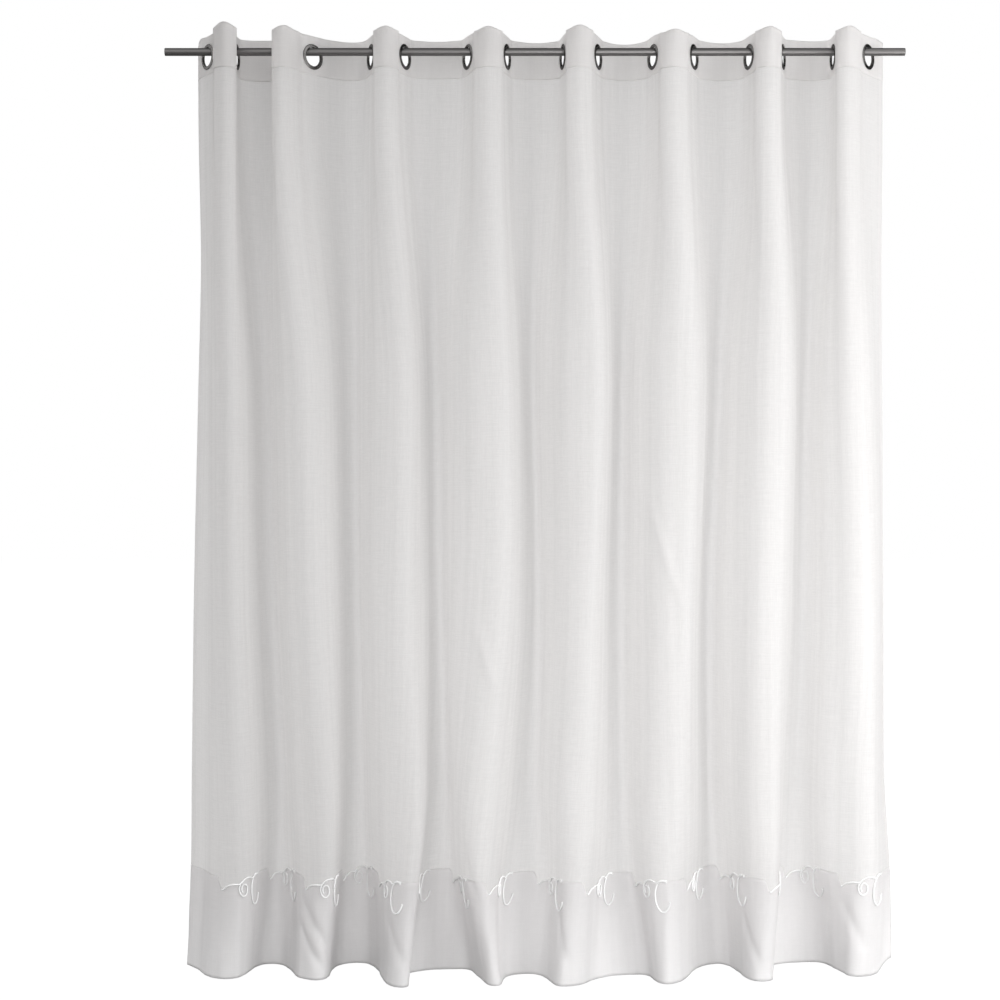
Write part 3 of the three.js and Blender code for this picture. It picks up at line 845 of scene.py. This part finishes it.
def threads(nodes, place, wide, high, detail):
    """Uneven streaks of thread, as wide and as high as given, in metres."""
    scaled = nodes.add("ShaderNodeMapping", {"Vector": place, "Scale": (1 / wide, 1 / high, 1)})
    return nodes.add("ShaderNodeTexNoise", {"Vector": scaled, "Scale": 1.0, "Detail": detail})


def weave(nodes, cloth):
    """How close the threads lie at each place, about 0.5: slubs both ways, fine threads, and soft
    bands that run down the cloth."""
    place = nodes.add("ShaderNodeUVMap", uv_map=CLOTH_UV)
    slub, pitch = cloth.slub_length, cloth.thread_pitch
    # How wide and how high each kind of streak is, its detail and its share
    kinds = (
        (slub, 3 * pitch, 2, 0.24),
        (3 * pitch, slub, 2, 0.2),
        (slub / 4, pitch, 0, 0.13),
        (pitch, slub / 4, 0, 0.13),
        (slub / 3, 15 * slub, 2, 0.3),
    )
    total = 0.0
    for *streak, share in kinds:
        total = nodes.maths("MULTIPLY_ADD", threads(nodes, place, *streak), share, total)
    return place, total


def toned(nodes, factor, color, darkest):
    """The colour, down to the darkest share of it where the factor is low. The node's inputs 6 and
    7 and its output 2 are colours."""
    dark = [c * darkest for c in color]
    return nodes.add(
        "ShaderNodeMix", {"Factor": factor, 6: (*dark, 1), 7: (*color, 1)}, data_type="RGBA"
    ).node.outputs[2]


def cloth_material(name, cloth, color, cover, glow, hem_glow=None, hem_width=0.0):
    """Matt woven cloth. cover is how much of it hides what is behind, glow how much of its light
    comes through from behind, which falls to hem_glow at the border's foot, and hem_width a
    doubled strip along both side edges."""
    material, nodes = new_material(name)
    place, density = weave(nodes, cloth)
    even = nodes.add(
        "ShaderNodeMapRange", {"Value": density, "From Min": 0.35, "From Max": 0.65}
    )
    tone = toned(nodes, even, color, 1 - cloth.slub_contrast)
    bump = nodes.add(
        "ShaderNodeBump", {"Height": density, "Strength": 0.35, "Distance": cloth.thread_pitch}
    )
    face = nodes.add(
        "ShaderNodeBsdfPrincipled",
        {
            "Base Color": tone,
            "Roughness": 0.85,
            "Specular IOR Level": 0.15,
            "Sheen Weight": 0.2,
            "Sheen Roughness": 0.4,
            "Normal": bump,
        },
    )
    through_cloth = nodes.add("ShaderNodeBsdfTranslucent", {"Color": tone, "Normal": bump})
    if hem_glow is not None:
        z = nodes.add("ShaderNodeSeparateXYZ", {"Vector": place}).node.outputs["Y"]
        glow = nodes.add(
            "ShaderNodeMapRange",
            {
                "Value": z,
                "From Min": HEM_FOOT * MM,
                "From Max": BORDER_TOP * MM,
                "To Min": hem_glow,
                "To Max": glow,
            },
        )
    lit = nodes.add("ShaderNodeMixShader", {0: glow, 1: face, 2: through_cloth})
    if cover < 1:
        spread = min(1 - cover, cover) * COVER_SPREAD
        hiding = nodes.add(
            "ShaderNodeMapRange",
            {"Value": even, "To Min": cover - spread, "To Max": cover + spread},
        )
        if hem_width:
            u = nodes.add("ShaderNodeSeparateXYZ", {"Vector": place}).node.outputs["X"]
            middle = CLOTH_WIDTH * MM / 2
            off = nodes.maths("ABSOLUTE", nodes.maths("SUBTRACT", u, middle))
            doubled = nodes.maths("GREATER_THAN", off, middle - hem_width)
            hiding = nodes.maths("MAXIMUM", hiding, nodes.maths("MULTIPLY", doubled, HEM_COVER))
        clear = nodes.add("ShaderNodeBsdfTransparent")
        lit = nodes.add("ShaderNodeMixShader", {0: hiding, 1: clear, 2: lit})
    nodes.add("ShaderNodeOutputMaterial", {"Surface": lit})
    return material


def thread_material(name, color, roughness):
    """Twisted yarn, a little mottled along its length."""
    material, nodes = new_material(name)
    place = nodes.add("ShaderNodeTexCoord").node.outputs["Object"]
    mottle = nodes.add("ShaderNodeTexNoise", {"Vector": place, "Scale": 600.0, "Detail": 2.0})
    tone = toned(nodes, mottle, color, DARKEST_YARN)
    bump = nodes.add("ShaderNodeBump", {"Height": mottle, "Strength": 0.4, "Distance": 0.0003})
    yarn = nodes.add(
        "ShaderNodeBsdfPrincipled",
        {
            "Base Color": tone,
            "Roughness": roughness,
            "Sheen Weight": 0.3,
            "Specular IOR Level": 0.35,
            "Normal": bump,
        },
    )
    nodes.add("ShaderNodeOutputMaterial", {"Surface": yarn})
    return material


def steel_material(name, color, roughness, edge, grain):
    """Brushed steel. edge is how bright it is where it is seen from the side, and grain the size of
    its scratches along each axis, in metres."""
    material, nodes = new_material(name)
    place = nodes.add("ShaderNodeTexCoord").node.outputs["Object"]
    scaled = nodes.add(
        "ShaderNodeMapping", {"Vector": place, "Scale": tuple(1 / size for size in grain)}
    )
    scratches = nodes.add("ShaderNodeTexNoise", {"Vector": scaled, "Scale": 1.0, "Detail": 3.0})
    rough = nodes.add(
        "ShaderNodeMapRange",
        {
            "Value": scratches,
            "To Min": roughness - SMOOTHER_SCRATCH,
            "To Max": roughness + ROUGHER_SCRATCH,
        },
    )
    tone = toned(nodes, scratches, color, DARKEST_STEEL)
    bump = nodes.add(
        "ShaderNodeBump", {"Height": scratches, "Strength": 0.15, "Distance": 0.0002}
    )
    steel = nodes.add(
        "ShaderNodeBsdfPrincipled",
        {
            "Base Color": tone,
            "Metallic": 1.0,
            "Specular Tint": (edge, edge, edge, 1),
            "Roughness": rough,
            "Normal": bump,
        },
    )
    nodes.add("ShaderNodeOutputMaterial", {"Surface": steel})
    return material


def kept(name, make, *arguments):
    """The material of that name, made when it is first asked for."""
    return bpy.data.materials.get(name) or make(name, *arguments)


# Settings


def color_setting(name, description, default):
    return FloatVectorProperty(
        name=name, description=description, default=default, subtype="COLOR", min=0, max=1
    )


def size_setting(name, description, default):
    return FloatProperty(
        name=name, description=description, default=default, min=0, subtype="DISTANCE",
        unit="LENGTH", precision=4,
    )


def share_setting(name, description, default):
    return FloatProperty(
        name=name, description=description, default=default, min=0, max=1, subtype="FACTOR"
    )


def strength_setting(name, description, default):
    return FloatProperty(name=name, description=description, default=default, min=0)


class CurtainCloth(bpy.types.PropertyGroup):
    """Colours, weave and thickness of the cloth."""

    voile_color: color_setting("Voile colour", "Colour of the sheer cloth", (0.8, 0.788, 0.782))
    heading_color: color_setting("Heading colour", "Colour of the top strip", (0.9, 0.889, 0.884))
    border_color: color_setting("Border colour", "Colour of the border", (0.89, 0.88, 0.88))
    cover: share_setting("Cover", "How much of the view the sheer cloth hides", 0.93)
    voile_glow: share_setting("Voile glow", "Light that comes through the voile", 0.5)
    double_glow: share_setting("Doubled glow", "Light that comes through each doubled layer", 0.62)
    hem_glow: share_setting("Hem glow", "The same at the border's foot, where it is thicker", 0.25)
    slub_contrast: share_setting("Slub contrast", "Darkening where threads are thin", 0.07)
    thread_pitch: size_setting("Thread pitch", "Distance between threads", 0.0009)
    slub_length: size_setting("Slub length", "Length of the thick stretches of thread", 0.06)
    side_hem: size_setting("Side hem", "Width of the turned side edges", 0.02)
    heading_thickness: size_setting("Heading thickness", "Thickness of the top strip", 0.0006)
    border_thickness: size_setting("Border thickness", "Thickness of the border", 0.0006)


class CurtainTrim(bpy.types.PropertyGroup):
    """Cord and stitching."""

    cord_diameter: size_setting("Cord diameter", "Thickness of the border's cord", 0.005)
    cord_twist: size_setting("Cord twist", "Length of one turn of the cord", 0.012)
    cord_color: color_setting("Cord colour", "Colour of the border's cord", (0.93, 0.93, 0.93))
    stitch_pitch: size_setting("Stitch pitch", "Distance between stitches", 0.0046)
    stitch_length: size_setting("Stitch length", "Length of each stitch", 0.0031)
    thread_width: size_setting("Thread width", "Thickness of the sewing thread", 0.0005)
    thread_color: color_setting("Thread colour", "Colour of the stitches", (0.88, 0.87, 0.86))


class CurtainMetal(bpy.types.PropertyGroup):
    """The rod and the eyelets."""

    rod_color: color_setting("Rod colour", "Colour of the rod's steel", (0.22, 0.213, 0.21))
    rod_roughness: share_setting("Rod roughness", "How dull the rod is", 0.38)
    rod_wall: size_setting("Rod wall", "Thickness of the rod's tube", 0.0012)
    eyelet_color: color_setting("Eyelet colour", "Colour of the eyelets", (0.18, 0.175, 0.172))
    eyelet_roughness: share_setting("Eyelet roughness", "How dull the eyelets are", 0.24)
    edge_shine: share_setting("Edge shine", "How bright the steel is seen from the side", 0.4)


class CurtainStage(bpy.types.PropertyGroup):
    """The studio."""

    floor_color: color_setting("Floor colour", "Colour of the floor", (0.9, 0.9, 0.9))
    floor_gap: size_setting("Floor gap", "Distance from the hem down to the floor", 0.02)
    floor_glow: strength_setting("Floor glow", "How white the floor is by itself", 1.15)
    floor_shadow: share_setting("Floor shadow", "How much the floor shows the shadow", 0.2)
    front_light: strength_setting("Front light", "Strength of the light from the front", 0.87)
    left_light: strength_setting("Left light", "Strength of the light from the left", 1.3)
    back_light: strength_setting("Back light", "Strength of the light from behind", 0.15)
    lamps: strength_setting("Lamps", "Strength of the lamps, where 1 is their own power", 1.0)


# Pieces


def heading_patches(columns, rows):
    """Points and quads of the flat heading, as lengths and heights, with round holes."""
    points, faces = [], []

    def add_grid(grid, closed=False):
        first = sum(len(p) for p in points)
        count, across = grid.shape[:2]
        points.append(grid.reshape(-1, 2))
        for i in range(count - 1):
            for k in range(across if closed else across - 1):
                a, b = first + i * across + k, first + i * across + (k + 1) % across
                faces.append((a, b, b + across, a + across))

    heights = np.linspace(HEADING_FOOT, HEADING_TOP, rows + 1)
    for start, end, count in columns:
        u = np.linspace(start, end, count + 1)
        add_grid(np.stack(np.meshgrid(u, heights), axis=-1))
    for i in range(len(EYELETS)):
        middle = LEFT_MARGIN + i * PITCH
        u = np.linspace(middle - FLAT_HALF, middle + FLAT_HALF, FLAT_COLUMNS + 1)
        flat = np.stack(np.meshgrid(u, heights), axis=-1)
        edges = [flat[0, :-1], flat[:-1, -1], flat[-1, :0:-1], flat[:0:-1, 0]]
        rim = np.concatenate(edges)[::-1]
        centre = np.array([middle, -EYELET_DROP])
        out = rim - centre
        hole = centre + HOLE_RADIUS * out / np.linalg.norm(out, axis=1, keepdims=True)
        steps = np.linspace(0, 1, HOLE_RINGS + 1)[:, None, None]
        add_grid(rim + (hole - rim) * (1 - steps), closed=True)
    return np.concatenate(points), faces


def heading_columns():
    """The stretches of heading between its flats: start, end and count of steps."""
    flats = [LEFT_MARGIN + i * PITCH for i in range(len(EYELETS))]
    between = [
        (a + FLAT_HALF, b - FLAT_HALF, ARC_COLUMNS) for a, b in zip(flats, flats[1:])
    ]
    left = (0, flats[0] - FLAT_HALF, MARGIN_COLUMNS)
    right = (flats[-1] + FLAT_HALF, CLOTH_WIDTH, MARGIN_COLUMNS)
    return [left, *between, right]


def on_heading(u, z, proud=0.0):
    """Points of the heading at lengths along it and flat heights, off its front. It stays level up to
    the top of the holes, or lower at the corners, where it droops more."""
    plan = points_at(HEADING, HEADING_LENGTHS, u)
    way = points_at(HEADING, HEADING_LENGTHS, np.minimum(u + 1, CLOTH_WIDTH))
    way = way - points_at(HEADING, HEADING_LENGTHS, np.maximum(u - 1, 0))
    way /= np.linalg.norm(way, axis=-1, keepdims=True)
    front = np.stack([way[..., 1], -way[..., 0]], axis=-1)
    droop = HEADING_TOP - heading_top(u)
    level = HOLE_RADIUS - EYELET_DROP - np.maximum(droop - MOST_DROOP_AT_EYELET, 0)
    z = z - droop * smoothstep(z, level, HEADING_TOP)
    return np.concatenate([plan + proud * front, z[..., None]], axis=-1)


def make_heading(cloth):
    flat, faces = heading_patches(heading_columns(), HEADING_ROWS)
    places, index = np.unique(flat.round(SAME_DIGITS), axis=0, return_inverse=True)
    index = index.ravel()
    merged = [tuple(int(index[k]) for k in face) for face in faces]
    u, z = places[:, 0], places[:, 1]
    vertices = on_heading(u, z)
    thing = mesh_object("heading_cloth", vertices, merged, places)
    return thickened(thing, cloth.heading_thickness)


def sheet_grid(top, foot, rows):
    """Lengths and heights of a sheet between two edges that may wave."""
    columns = cloth_surface().columns
    share = np.linspace(0, 1, rows + 1)[:, None]
    heights = top(columns) + share * (foot(columns) - top(columns))
    return np.broadcast_to(columns, heights.shape), heights


def level_edge(height):
    """A sheet's edge that doesn't wave."""
    return lambda u: np.full(np.shape(u), float(height))


def curl_line(centre, curl):
    """Lengths and heights of a curl that winds inwards from the border's edge."""
    share = np.linspace(0, 1, SCROLL_STEPS + 1)
    turn = math.radians(curl.start) + 2 * math.pi * curl.turns * share
    size = 1 - curl.shrink * share
    u = centre + curl.along + curl.half_width * size * np.cos(turn)
    return u, BORDER_TOP + curl.above + curl.half_height * size * np.sin(turn)


def make_cord(trim):
    """The cord of the scrolls: each one's edge, its curl and its loop."""
    proud = trim.cord_diameter / MM / 2
    lines = []
    for centre in scroll_centres():
        u = centre + np.linspace(*CORD_ENDS, 2 * SCROLL_STEPS)
        lines.append(on_cloth(u, border_edge(u), proud))
        lines.extend(on_cloth(*curl_line(centre, curl), proud) for curl in CURLS)
    source = path_object("cord_path", lines)
    cord = kept("cord_yarn", thread_material, trim.cord_color, CORD_ROUGHNESS)
    return from_nodes(
        source, cord_tree(), "border_cord",
        Diameter=trim.cord_diameter, Twist=trim.cord_twist, Step=CORD_STEP * MM, Cord=cord,
    ), cord


def stitch_shape(trim):
    """One stitch: a slim bead of thread along Z."""
    half, radius = trim.stitch_length / MM / 2, trim.thread_width / MM / 2
    full = half * FULL_STITCH
    turn = np.linspace(0, 2 * math.pi, STITCH_SIDES, endpoint=False)
    vertices = [(0, 0, -half)]
    for z in (-full, full):
        vertices.extend((radius * math.cos(a), radius * math.sin(a), z) for a in turn)
    vertices.append((0, 0, half))
    low = list(range(1, 1 + STITCH_SIDES))
    high = [k + STITCH_SIDES for k in low]
    sides = list(zip(low, low[1:] + low[:1], high, high[1:] + high[:1]))
    faces = [(0, b, a) for a, b, _, _ in sides]
    faces += [(a, b, d, c) for a, b, c, d in sides]
    faces += [(c, d, len(vertices) - 1) for _, _, c, d in sides]
    return mesh_object("stitch", vertices, faces)


def make_stitching(cloth, trim):
    """Seams along the heading, the border's edge and both side hems, on both faces."""
    lines = []
    u = np.linspace(SEAM_END, CLOTH_WIDTH - SEAM_END, 2 * CLOTH_COLUMNS)
    z = np.full_like(u, HEADING_FOOT + HEADING_SEAM)
    face = cloth.heading_thickness / MM / 2
    border = cloth.border_thickness / MM / 2
    for side in (1, -1):
        lines.append(on_heading(u, z, float(side * face)))
        lines.append(on_cloth(u, border_edge(u) - BORDER_SEAM, side * border))
    inset = cloth.side_hem / MM - SIDE_SEAM
    top, foot = HEADING_FOOT - SIDE_SEAM_END, HEM_FOOT + SIDE_SEAM_END
    down = np.linspace(top, foot, 2 * SURFACE_ROWS)
    for edge in (inset, CLOTH_WIDTH - inset):
        for side in (1, -1):
            lines.append(on_cloth(np.full_like(down, edge), down, side * SIDE_SEAM_PROUD))
    source = path_object("stitch_path", lines)
    stitch = stitch_shape(trim)
    thread = kept("sewing_thread", thread_material, trim.thread_color, THREAD_ROUGHNESS)
    made = from_nodes(
        source, stitch_tree(), "seam_stitches",
        Pitch=trim.stitch_pitch, Stitch=stitch, Seed=7, Thread=thread,
    )
    bpy.data.objects.remove(stitch)
    return made, thread


# Half of an eyelet's section, from its bore to its rim: radius and distance from the cloth
EYELET_SECTION = (
    (24.0, 0.0), (23.9, 1.1), (24.2, 2.3), (25.0, 3.1), (26.2, 3.3), (27.6, 3.1), (29.2, 2.7),
    (30.6, 2.4), (31.8, 2.25), (32.6, 1.9), (33.0, 1.35), (32.7, 0.95), (31.0, 0.8), (26.3, 0.75),
)
EYELET_SIDES = 72

# How many sides the rod has, how far its cut edges are broken, and the least angle of a sharp
# edge, in degrees
ROD_SIDES = 96
BROKEN_EDGE = 0.3
SHARP_EDGE = 30


def make_eyelets(metal):
    points = mesh_object("eyelet_points", [(e.x, 0, -EYELET_DROP) for e in EYELETS], [])
    turns = points.data.attributes.new(TURN, "FLOAT", "POINT")
    turns.data.foreach_set("value", [math.radians(e.turn) for e in EYELETS])
    outline = [*EYELET_SECTION, *[(r, -y) for r, y in EYELET_SECTION[:0:-1]]]
    ring = revolved("eyelet_ring", outline, EYELET_SIDES)
    steel = kept(
        "eyelet_polish", steel_material, metal.eyelet_color, metal.eyelet_roughness,
        metal.edge_shine, EYELET_GRAIN,
    )
    made = from_nodes(points, eyelet_tree(), "eyelets", Ring=ring, Steel=steel)
    bpy.data.objects.remove(ring)
    return made, steel


def make_rod(metal):
    """A tube with plain cut ends, its edges just broken."""
    outer = (ROD_HIGH.z - ROD_LOW.z) / 2 / MM
    half = (ROD_HIGH.x - ROD_LOW.x) / 2 / MM
    inner = outer - metal.rod_wall / MM
    full = half - BROKEN_EDGE
    outline = [
        (outer - BROKEN_EDGE, -half), (outer, -full), (outer, full), (outer - BROKEN_EDGE, half),
        (inner + BROKEN_EDGE, half), (inner, full), (inner, -full), (inner + BROKEN_EDGE, -half),
    ]
    tube = revolved("rod_tube", outline, ROD_SIDES)
    tube.data.transform(Matrix.Rotation(-math.pi / 2, 4, "Z"))
    tube.data.shade_smooth()
    tube.data.set_sharp_from_angle(angle=math.radians(SHARP_EDGE))
    return tube


# Operators


class CURTAIN_OT_heading(bpy.types.Operator):
    """Makes the doubled top strip with its eyelet holes"""

    bl_idname = "curtain.heading"
    bl_label = "Heading"

    def execute(self, context):
        cloth = context.scene.curtain_cloth
        thing = make_heading(cloth)
        material = kept(
            "heading_weave", cloth_material, cloth, cloth.heading_color, 1, cloth.double_glow
        )
        settle(thing, material, "heading_cloth", "heading_band")
        return {"FINISHED"}


class CURTAIN_OT_voile(bpy.types.Operator):
    """Makes the sheer cloth between the heading and the border"""

    bl_idname = "curtain.voile"
    bl_label = "Voile"

    def execute(self, context):
        cloth = context.scene.curtain_cloth
        grid = sheet_grid(level_edge(HEADING_FOOT), border_edge, VOILE_ROWS)
        thing = cloth_object("voile_cloth", *grid)
        material = kept(
            "voile_weave", cloth_material, cloth, cloth.voile_color, cloth.cover,
            cloth.voile_glow, None, cloth.side_hem,
        )
        settle(thing, material, "voile", "voile_panel")
        return {"FINISHED"}


class CURTAIN_OT_border(bpy.types.Operator):
    """Makes the doubled border along the hem"""

    bl_idname = "curtain.border"
    bl_label = "Border"

    def execute(self, context):
        cloth = context.scene.curtain_cloth
        grid = sheet_grid(border_edge, level_edge(HEM_FOOT), BORDER_ROWS)
        thing = thickened(cloth_object("border_cloth", *grid), cloth.border_thickness)
        material = kept(
            "border_weave", cloth_material, cloth, cloth.border_color, 1, cloth.double_glow,
            cloth.hem_glow,
        )
        settle(thing, material, "border_cloth", "hem_border")
        return {"FINISHED"}


class CURTAIN_OT_trim(bpy.types.Operator):
    """Makes the cord along the border's edge, with its scrolls"""

    bl_idname = "curtain.trim"
    bl_label = "Border cord"

    def execute(self, context):
        trim = context.scene.curtain_trim
        thing, cord = make_cord(trim)
        settle(thing, cord, "border_cloth")
        return {"FINISHED"}


class CURTAIN_OT_stitching(bpy.types.Operator):
    """Makes the stitched seams of the heading, the border's edge and the side hems"""

    bl_idname = "curtain.stitching"
    bl_label = "Stitching"

    def execute(self, context):
        scene = context.scene
        thing, thread = make_stitching(scene.curtain_cloth, scene.curtain_trim)
        settle(thing, thread, "heading_cloth")
        return {"FINISHED"}


class CURTAIN_OT_eyelets(bpy.types.Operator):
    """Makes the pressed steel eyelets"""

    bl_idname = "curtain.eyelets"
    bl_label = "Eyelets"

    def execute(self, context):
        thing, steel = make_eyelets(context.scene.curtain_metal)
        nodes = [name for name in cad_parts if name.startswith("eyelet_")]
        settle(thing, steel, "eyelet_steel", *nodes)
        return {"FINISHED"}


class CURTAIN_OT_rod(bpy.types.Operator):
    """Makes the steel tube that the curtain hangs from"""

    bl_idname = "curtain.rod"
    bl_label = "Rod"

    def execute(self, context):
        metal = context.scene.curtain_metal
        thing = make_rod(metal)
        steel = kept(
            "rod_brushing", steel_material, metal.rod_color, metal.rod_roughness,
            metal.edge_shine, ROD_GRAIN,
        )
        settle(thing, steel, "rod_steel", "rod")
        return {"FINISHED"}


def aim(thing, place, target):
    thing.location = place
    thing.rotation_euler = (Vector(target) - Vector(place)).to_track_quat("-Z", "Y").to_euler()


# The lamps: where each stands and aims and its width and height, in metres, and its power in watts
Lamp = namedtuple("Lamp", "name place target width height power")
LAMPS = (
    Lamp("right_back", (1.3, 2.2, -1.6), (0, 0, -1.4), 1.4, 2, 24),
    Lamp("far_right_back", (3.6, 1.6, -1.4), (0, 0, -1.3), 1.4, 2, 42),
    Lamp("right_front", (2.2, -1.6, -1.5), (0, 0, -1.4), 1.4, 2, 46),
    Lamp("right_top", (2, -0.6, 0.6), (0.3, 0, -0.6), 1.4, 2, 16),
    Lamp("front", (0.6, -3.4, -1.2), (0.2, 0, -1.2), 1.4, 2, 44),
    Lamp("back", (0.5, 3, -1.4), (0, 0, -1.2), 1.4, 2, 9),
    Lamp("low_back", (-0.1, 1.1, -1.9), (-0.15, 0, -1.85), 0.5, 0.6, 1.6),
)

# Half the floor's width, its corners, and how light it is to the light that falls on it
FLOOR_HALF = 30000
SQUARE = ((-1, -1), (1, -1), (1, 1), (-1, 1))
FLOOR_BOUNCE = (0.3, 0.3, 0.3, 1)


def add_lamp(lamp, power):
    """A rectangular lamp that is not itself seen."""
    light = bpy.data.lights.new(lamp.name, "AREA")
    light.shape = "RECTANGLE"
    light.size, light.size_y = lamp.width, lamp.height
    light.energy = power
    thing = bpy.data.objects.new(lamp.name, light)
    thing.visible_camera = False
    bpy.context.scene.collection.objects.link(thing)
    aim(thing, lamp.place, lamp.target)


def add_world(stage):
    """A white surround, brighter in front and on the left, where its light comes from. The camera
    sees it evenly white."""
    world = bpy.data.worlds.new("studio")
    world.use_nodes = True
    bpy.context.scene.world = world
    nodes = Nodes(world.node_tree)
    way = nodes.add("ShaderNodeTexCoord").node.outputs["Generated"]
    x, y, _ = nodes.add("ShaderNodeSeparateXYZ", {"Vector": way}).node.outputs
    total = 0.0
    front = nodes.maths("MULTIPLY", y, -1.0)
    left = nodes.maths("MULTIPLY", x, -1.0)
    for side, strength in (
        (front, stage.front_light), (y, stage.back_light), (left, stage.left_light)
    ):
        towards = nodes.maths("MAXIMUM", side, 0.0)
        total = nodes.maths("MULTIPLY_ADD", towards, strength, total)
    light = nodes.add("ShaderNodeBackground", {"Color": (1, 1, 1, 1), "Strength": total})
    shown = nodes.add("ShaderNodeBackground", {"Color": (1, 1, 1, 1), "Strength": 1.0})
    camera_ray = nodes.add("ShaderNodeLightPath").node.outputs["Is Camera Ray"]
    mixed = nodes.add("ShaderNodeMixShader", {0: camera_ray, 1: light, 2: shown})
    nodes.add("ShaderNodeOutputWorld", {"Surface": mixed})


def add_floor(stage):
    """A pale floor that is as white as the surround, but for a soft shadow."""
    height = HEM_FOOT - stage.floor_gap / MM
    corners = [(x * FLOOR_HALF, y * FLOOR_HALF, height) for x, y in SQUARE]
    floor = mesh_object("floor", corners, [(0, 1, 2, 3)])
    material, nodes = new_material("floor_paint")
    white = nodes.add("ShaderNodeEmission", {"Color": (1, 1, 1, 1), "Strength": stage.floor_glow})
    paint = nodes.add("ShaderNodeBsdfDiffuse", {"Color": (*stage.floor_color, 1)})
    seen = nodes.add("ShaderNodeMixShader", {0: stage.floor_shadow, 1: white, 2: paint})
    dim = nodes.add("ShaderNodeBsdfDiffuse", {"Color": FLOOR_BOUNCE})
    camera_ray = nodes.add("ShaderNodeLightPath").node.outputs["Is Camera Ray"]
    mixed = nodes.add("ShaderNodeMixShader", {0: camera_ray, 1: dim, 2: seen})
    nodes.add("ShaderNodeOutputMaterial", {"Surface": mixed})
    floor.data.materials.append(material)


# Where the camera stands and how far it sees, in metres, and its lens and sensor, in millimetres
CAMERA_PLACE = (-0.091, -4.3, -1.1675)
CAMERA_REACH = 100
CAMERA_LENS = 59.4
SENSOR_WIDTH = 36


def add_camera():
    camera = bpy.data.cameras.new("camera")
    camera.lens = CAMERA_LENS
    camera.sensor_width = SENSOR_WIDTH
    camera.clip_end = CAMERA_REACH
    thing = bpy.data.objects.new("camera", camera)
    bpy.context.scene.collection.objects.link(thing)
    x, y, z = CAMERA_PLACE
    aim(thing, CAMERA_PLACE, (x, y + 1, z))
    bpy.context.scene.camera = thing


class CURTAIN_OT_stage(bpy.types.Operator):
    """Makes the floor, the lights and the camera"""

    bl_idname = "curtain.stage"
    bl_label = "Studio"

    def execute(self, context):
        stage = context.scene.curtain_stage
        context.scene.view_settings.view_transform = "Standard"
        context.scene.view_settings.look = "None"
        add_world(stage)
        add_floor(stage)
        for lamp in LAMPS:
            add_lamp(lamp, lamp.power * stage.lamps)
        add_camera()
        return {"FINISHED"}


class CURTAIN_PT_pieces(bpy.types.Panel):
    """Lists the curtain's pieces and settings"""

    bl_idname = "CURTAIN_PT_pieces"
    bl_label = "Curtain"
    bl_space_type = "VIEW_3D"
    bl_region_type = "UI"
    bl_category = "Curtain"

    def draw(self, context):
        for operator in OPERATORS:
            self.layout.operator(operator.bl_idname)
        for name, group in SETTINGS.items():
            box = self.layout.box()
            for setting in group.__annotations__:
                box.prop(getattr(context.scene, name), setting)


SETTINGS = {
    "curtain_cloth": CurtainCloth,
    "curtain_trim": CurtainTrim,
    "curtain_metal": CurtainMetal,
    "curtain_stage": CurtainStage,
}
OPERATORS = (
    CURTAIN_OT_rod,
    CURTAIN_OT_eyelets,
    CURTAIN_OT_heading,
    CURTAIN_OT_voile,
    CURTAIN_OT_border,
    CURTAIN_OT_trim,
    CURTAIN_OT_stitching,
    CURTAIN_OT_stage,
)
CLASSES = (*SETTINGS.values(), *OPERATORS, CURTAIN_PT_pieces)


def register():
    for made in CLASSES:
        bpy.utils.register_class(made)
    for name, group in SETTINGS.items():
        setattr(bpy.types.Scene, name, PointerProperty(type=group))


def unregister():
    for name in SETTINGS:
        delattr(bpy.types.Scene, name)
    for made in reversed(CLASSES):
        bpy.utils.unregister_class(made)


def main():
    register()
    for operator in OPERATORS:
        module, name = operator.bl_idname.split(".")
        getattr(getattr(bpy.ops, module), name)()


if __name__ == "__main__":
    main()
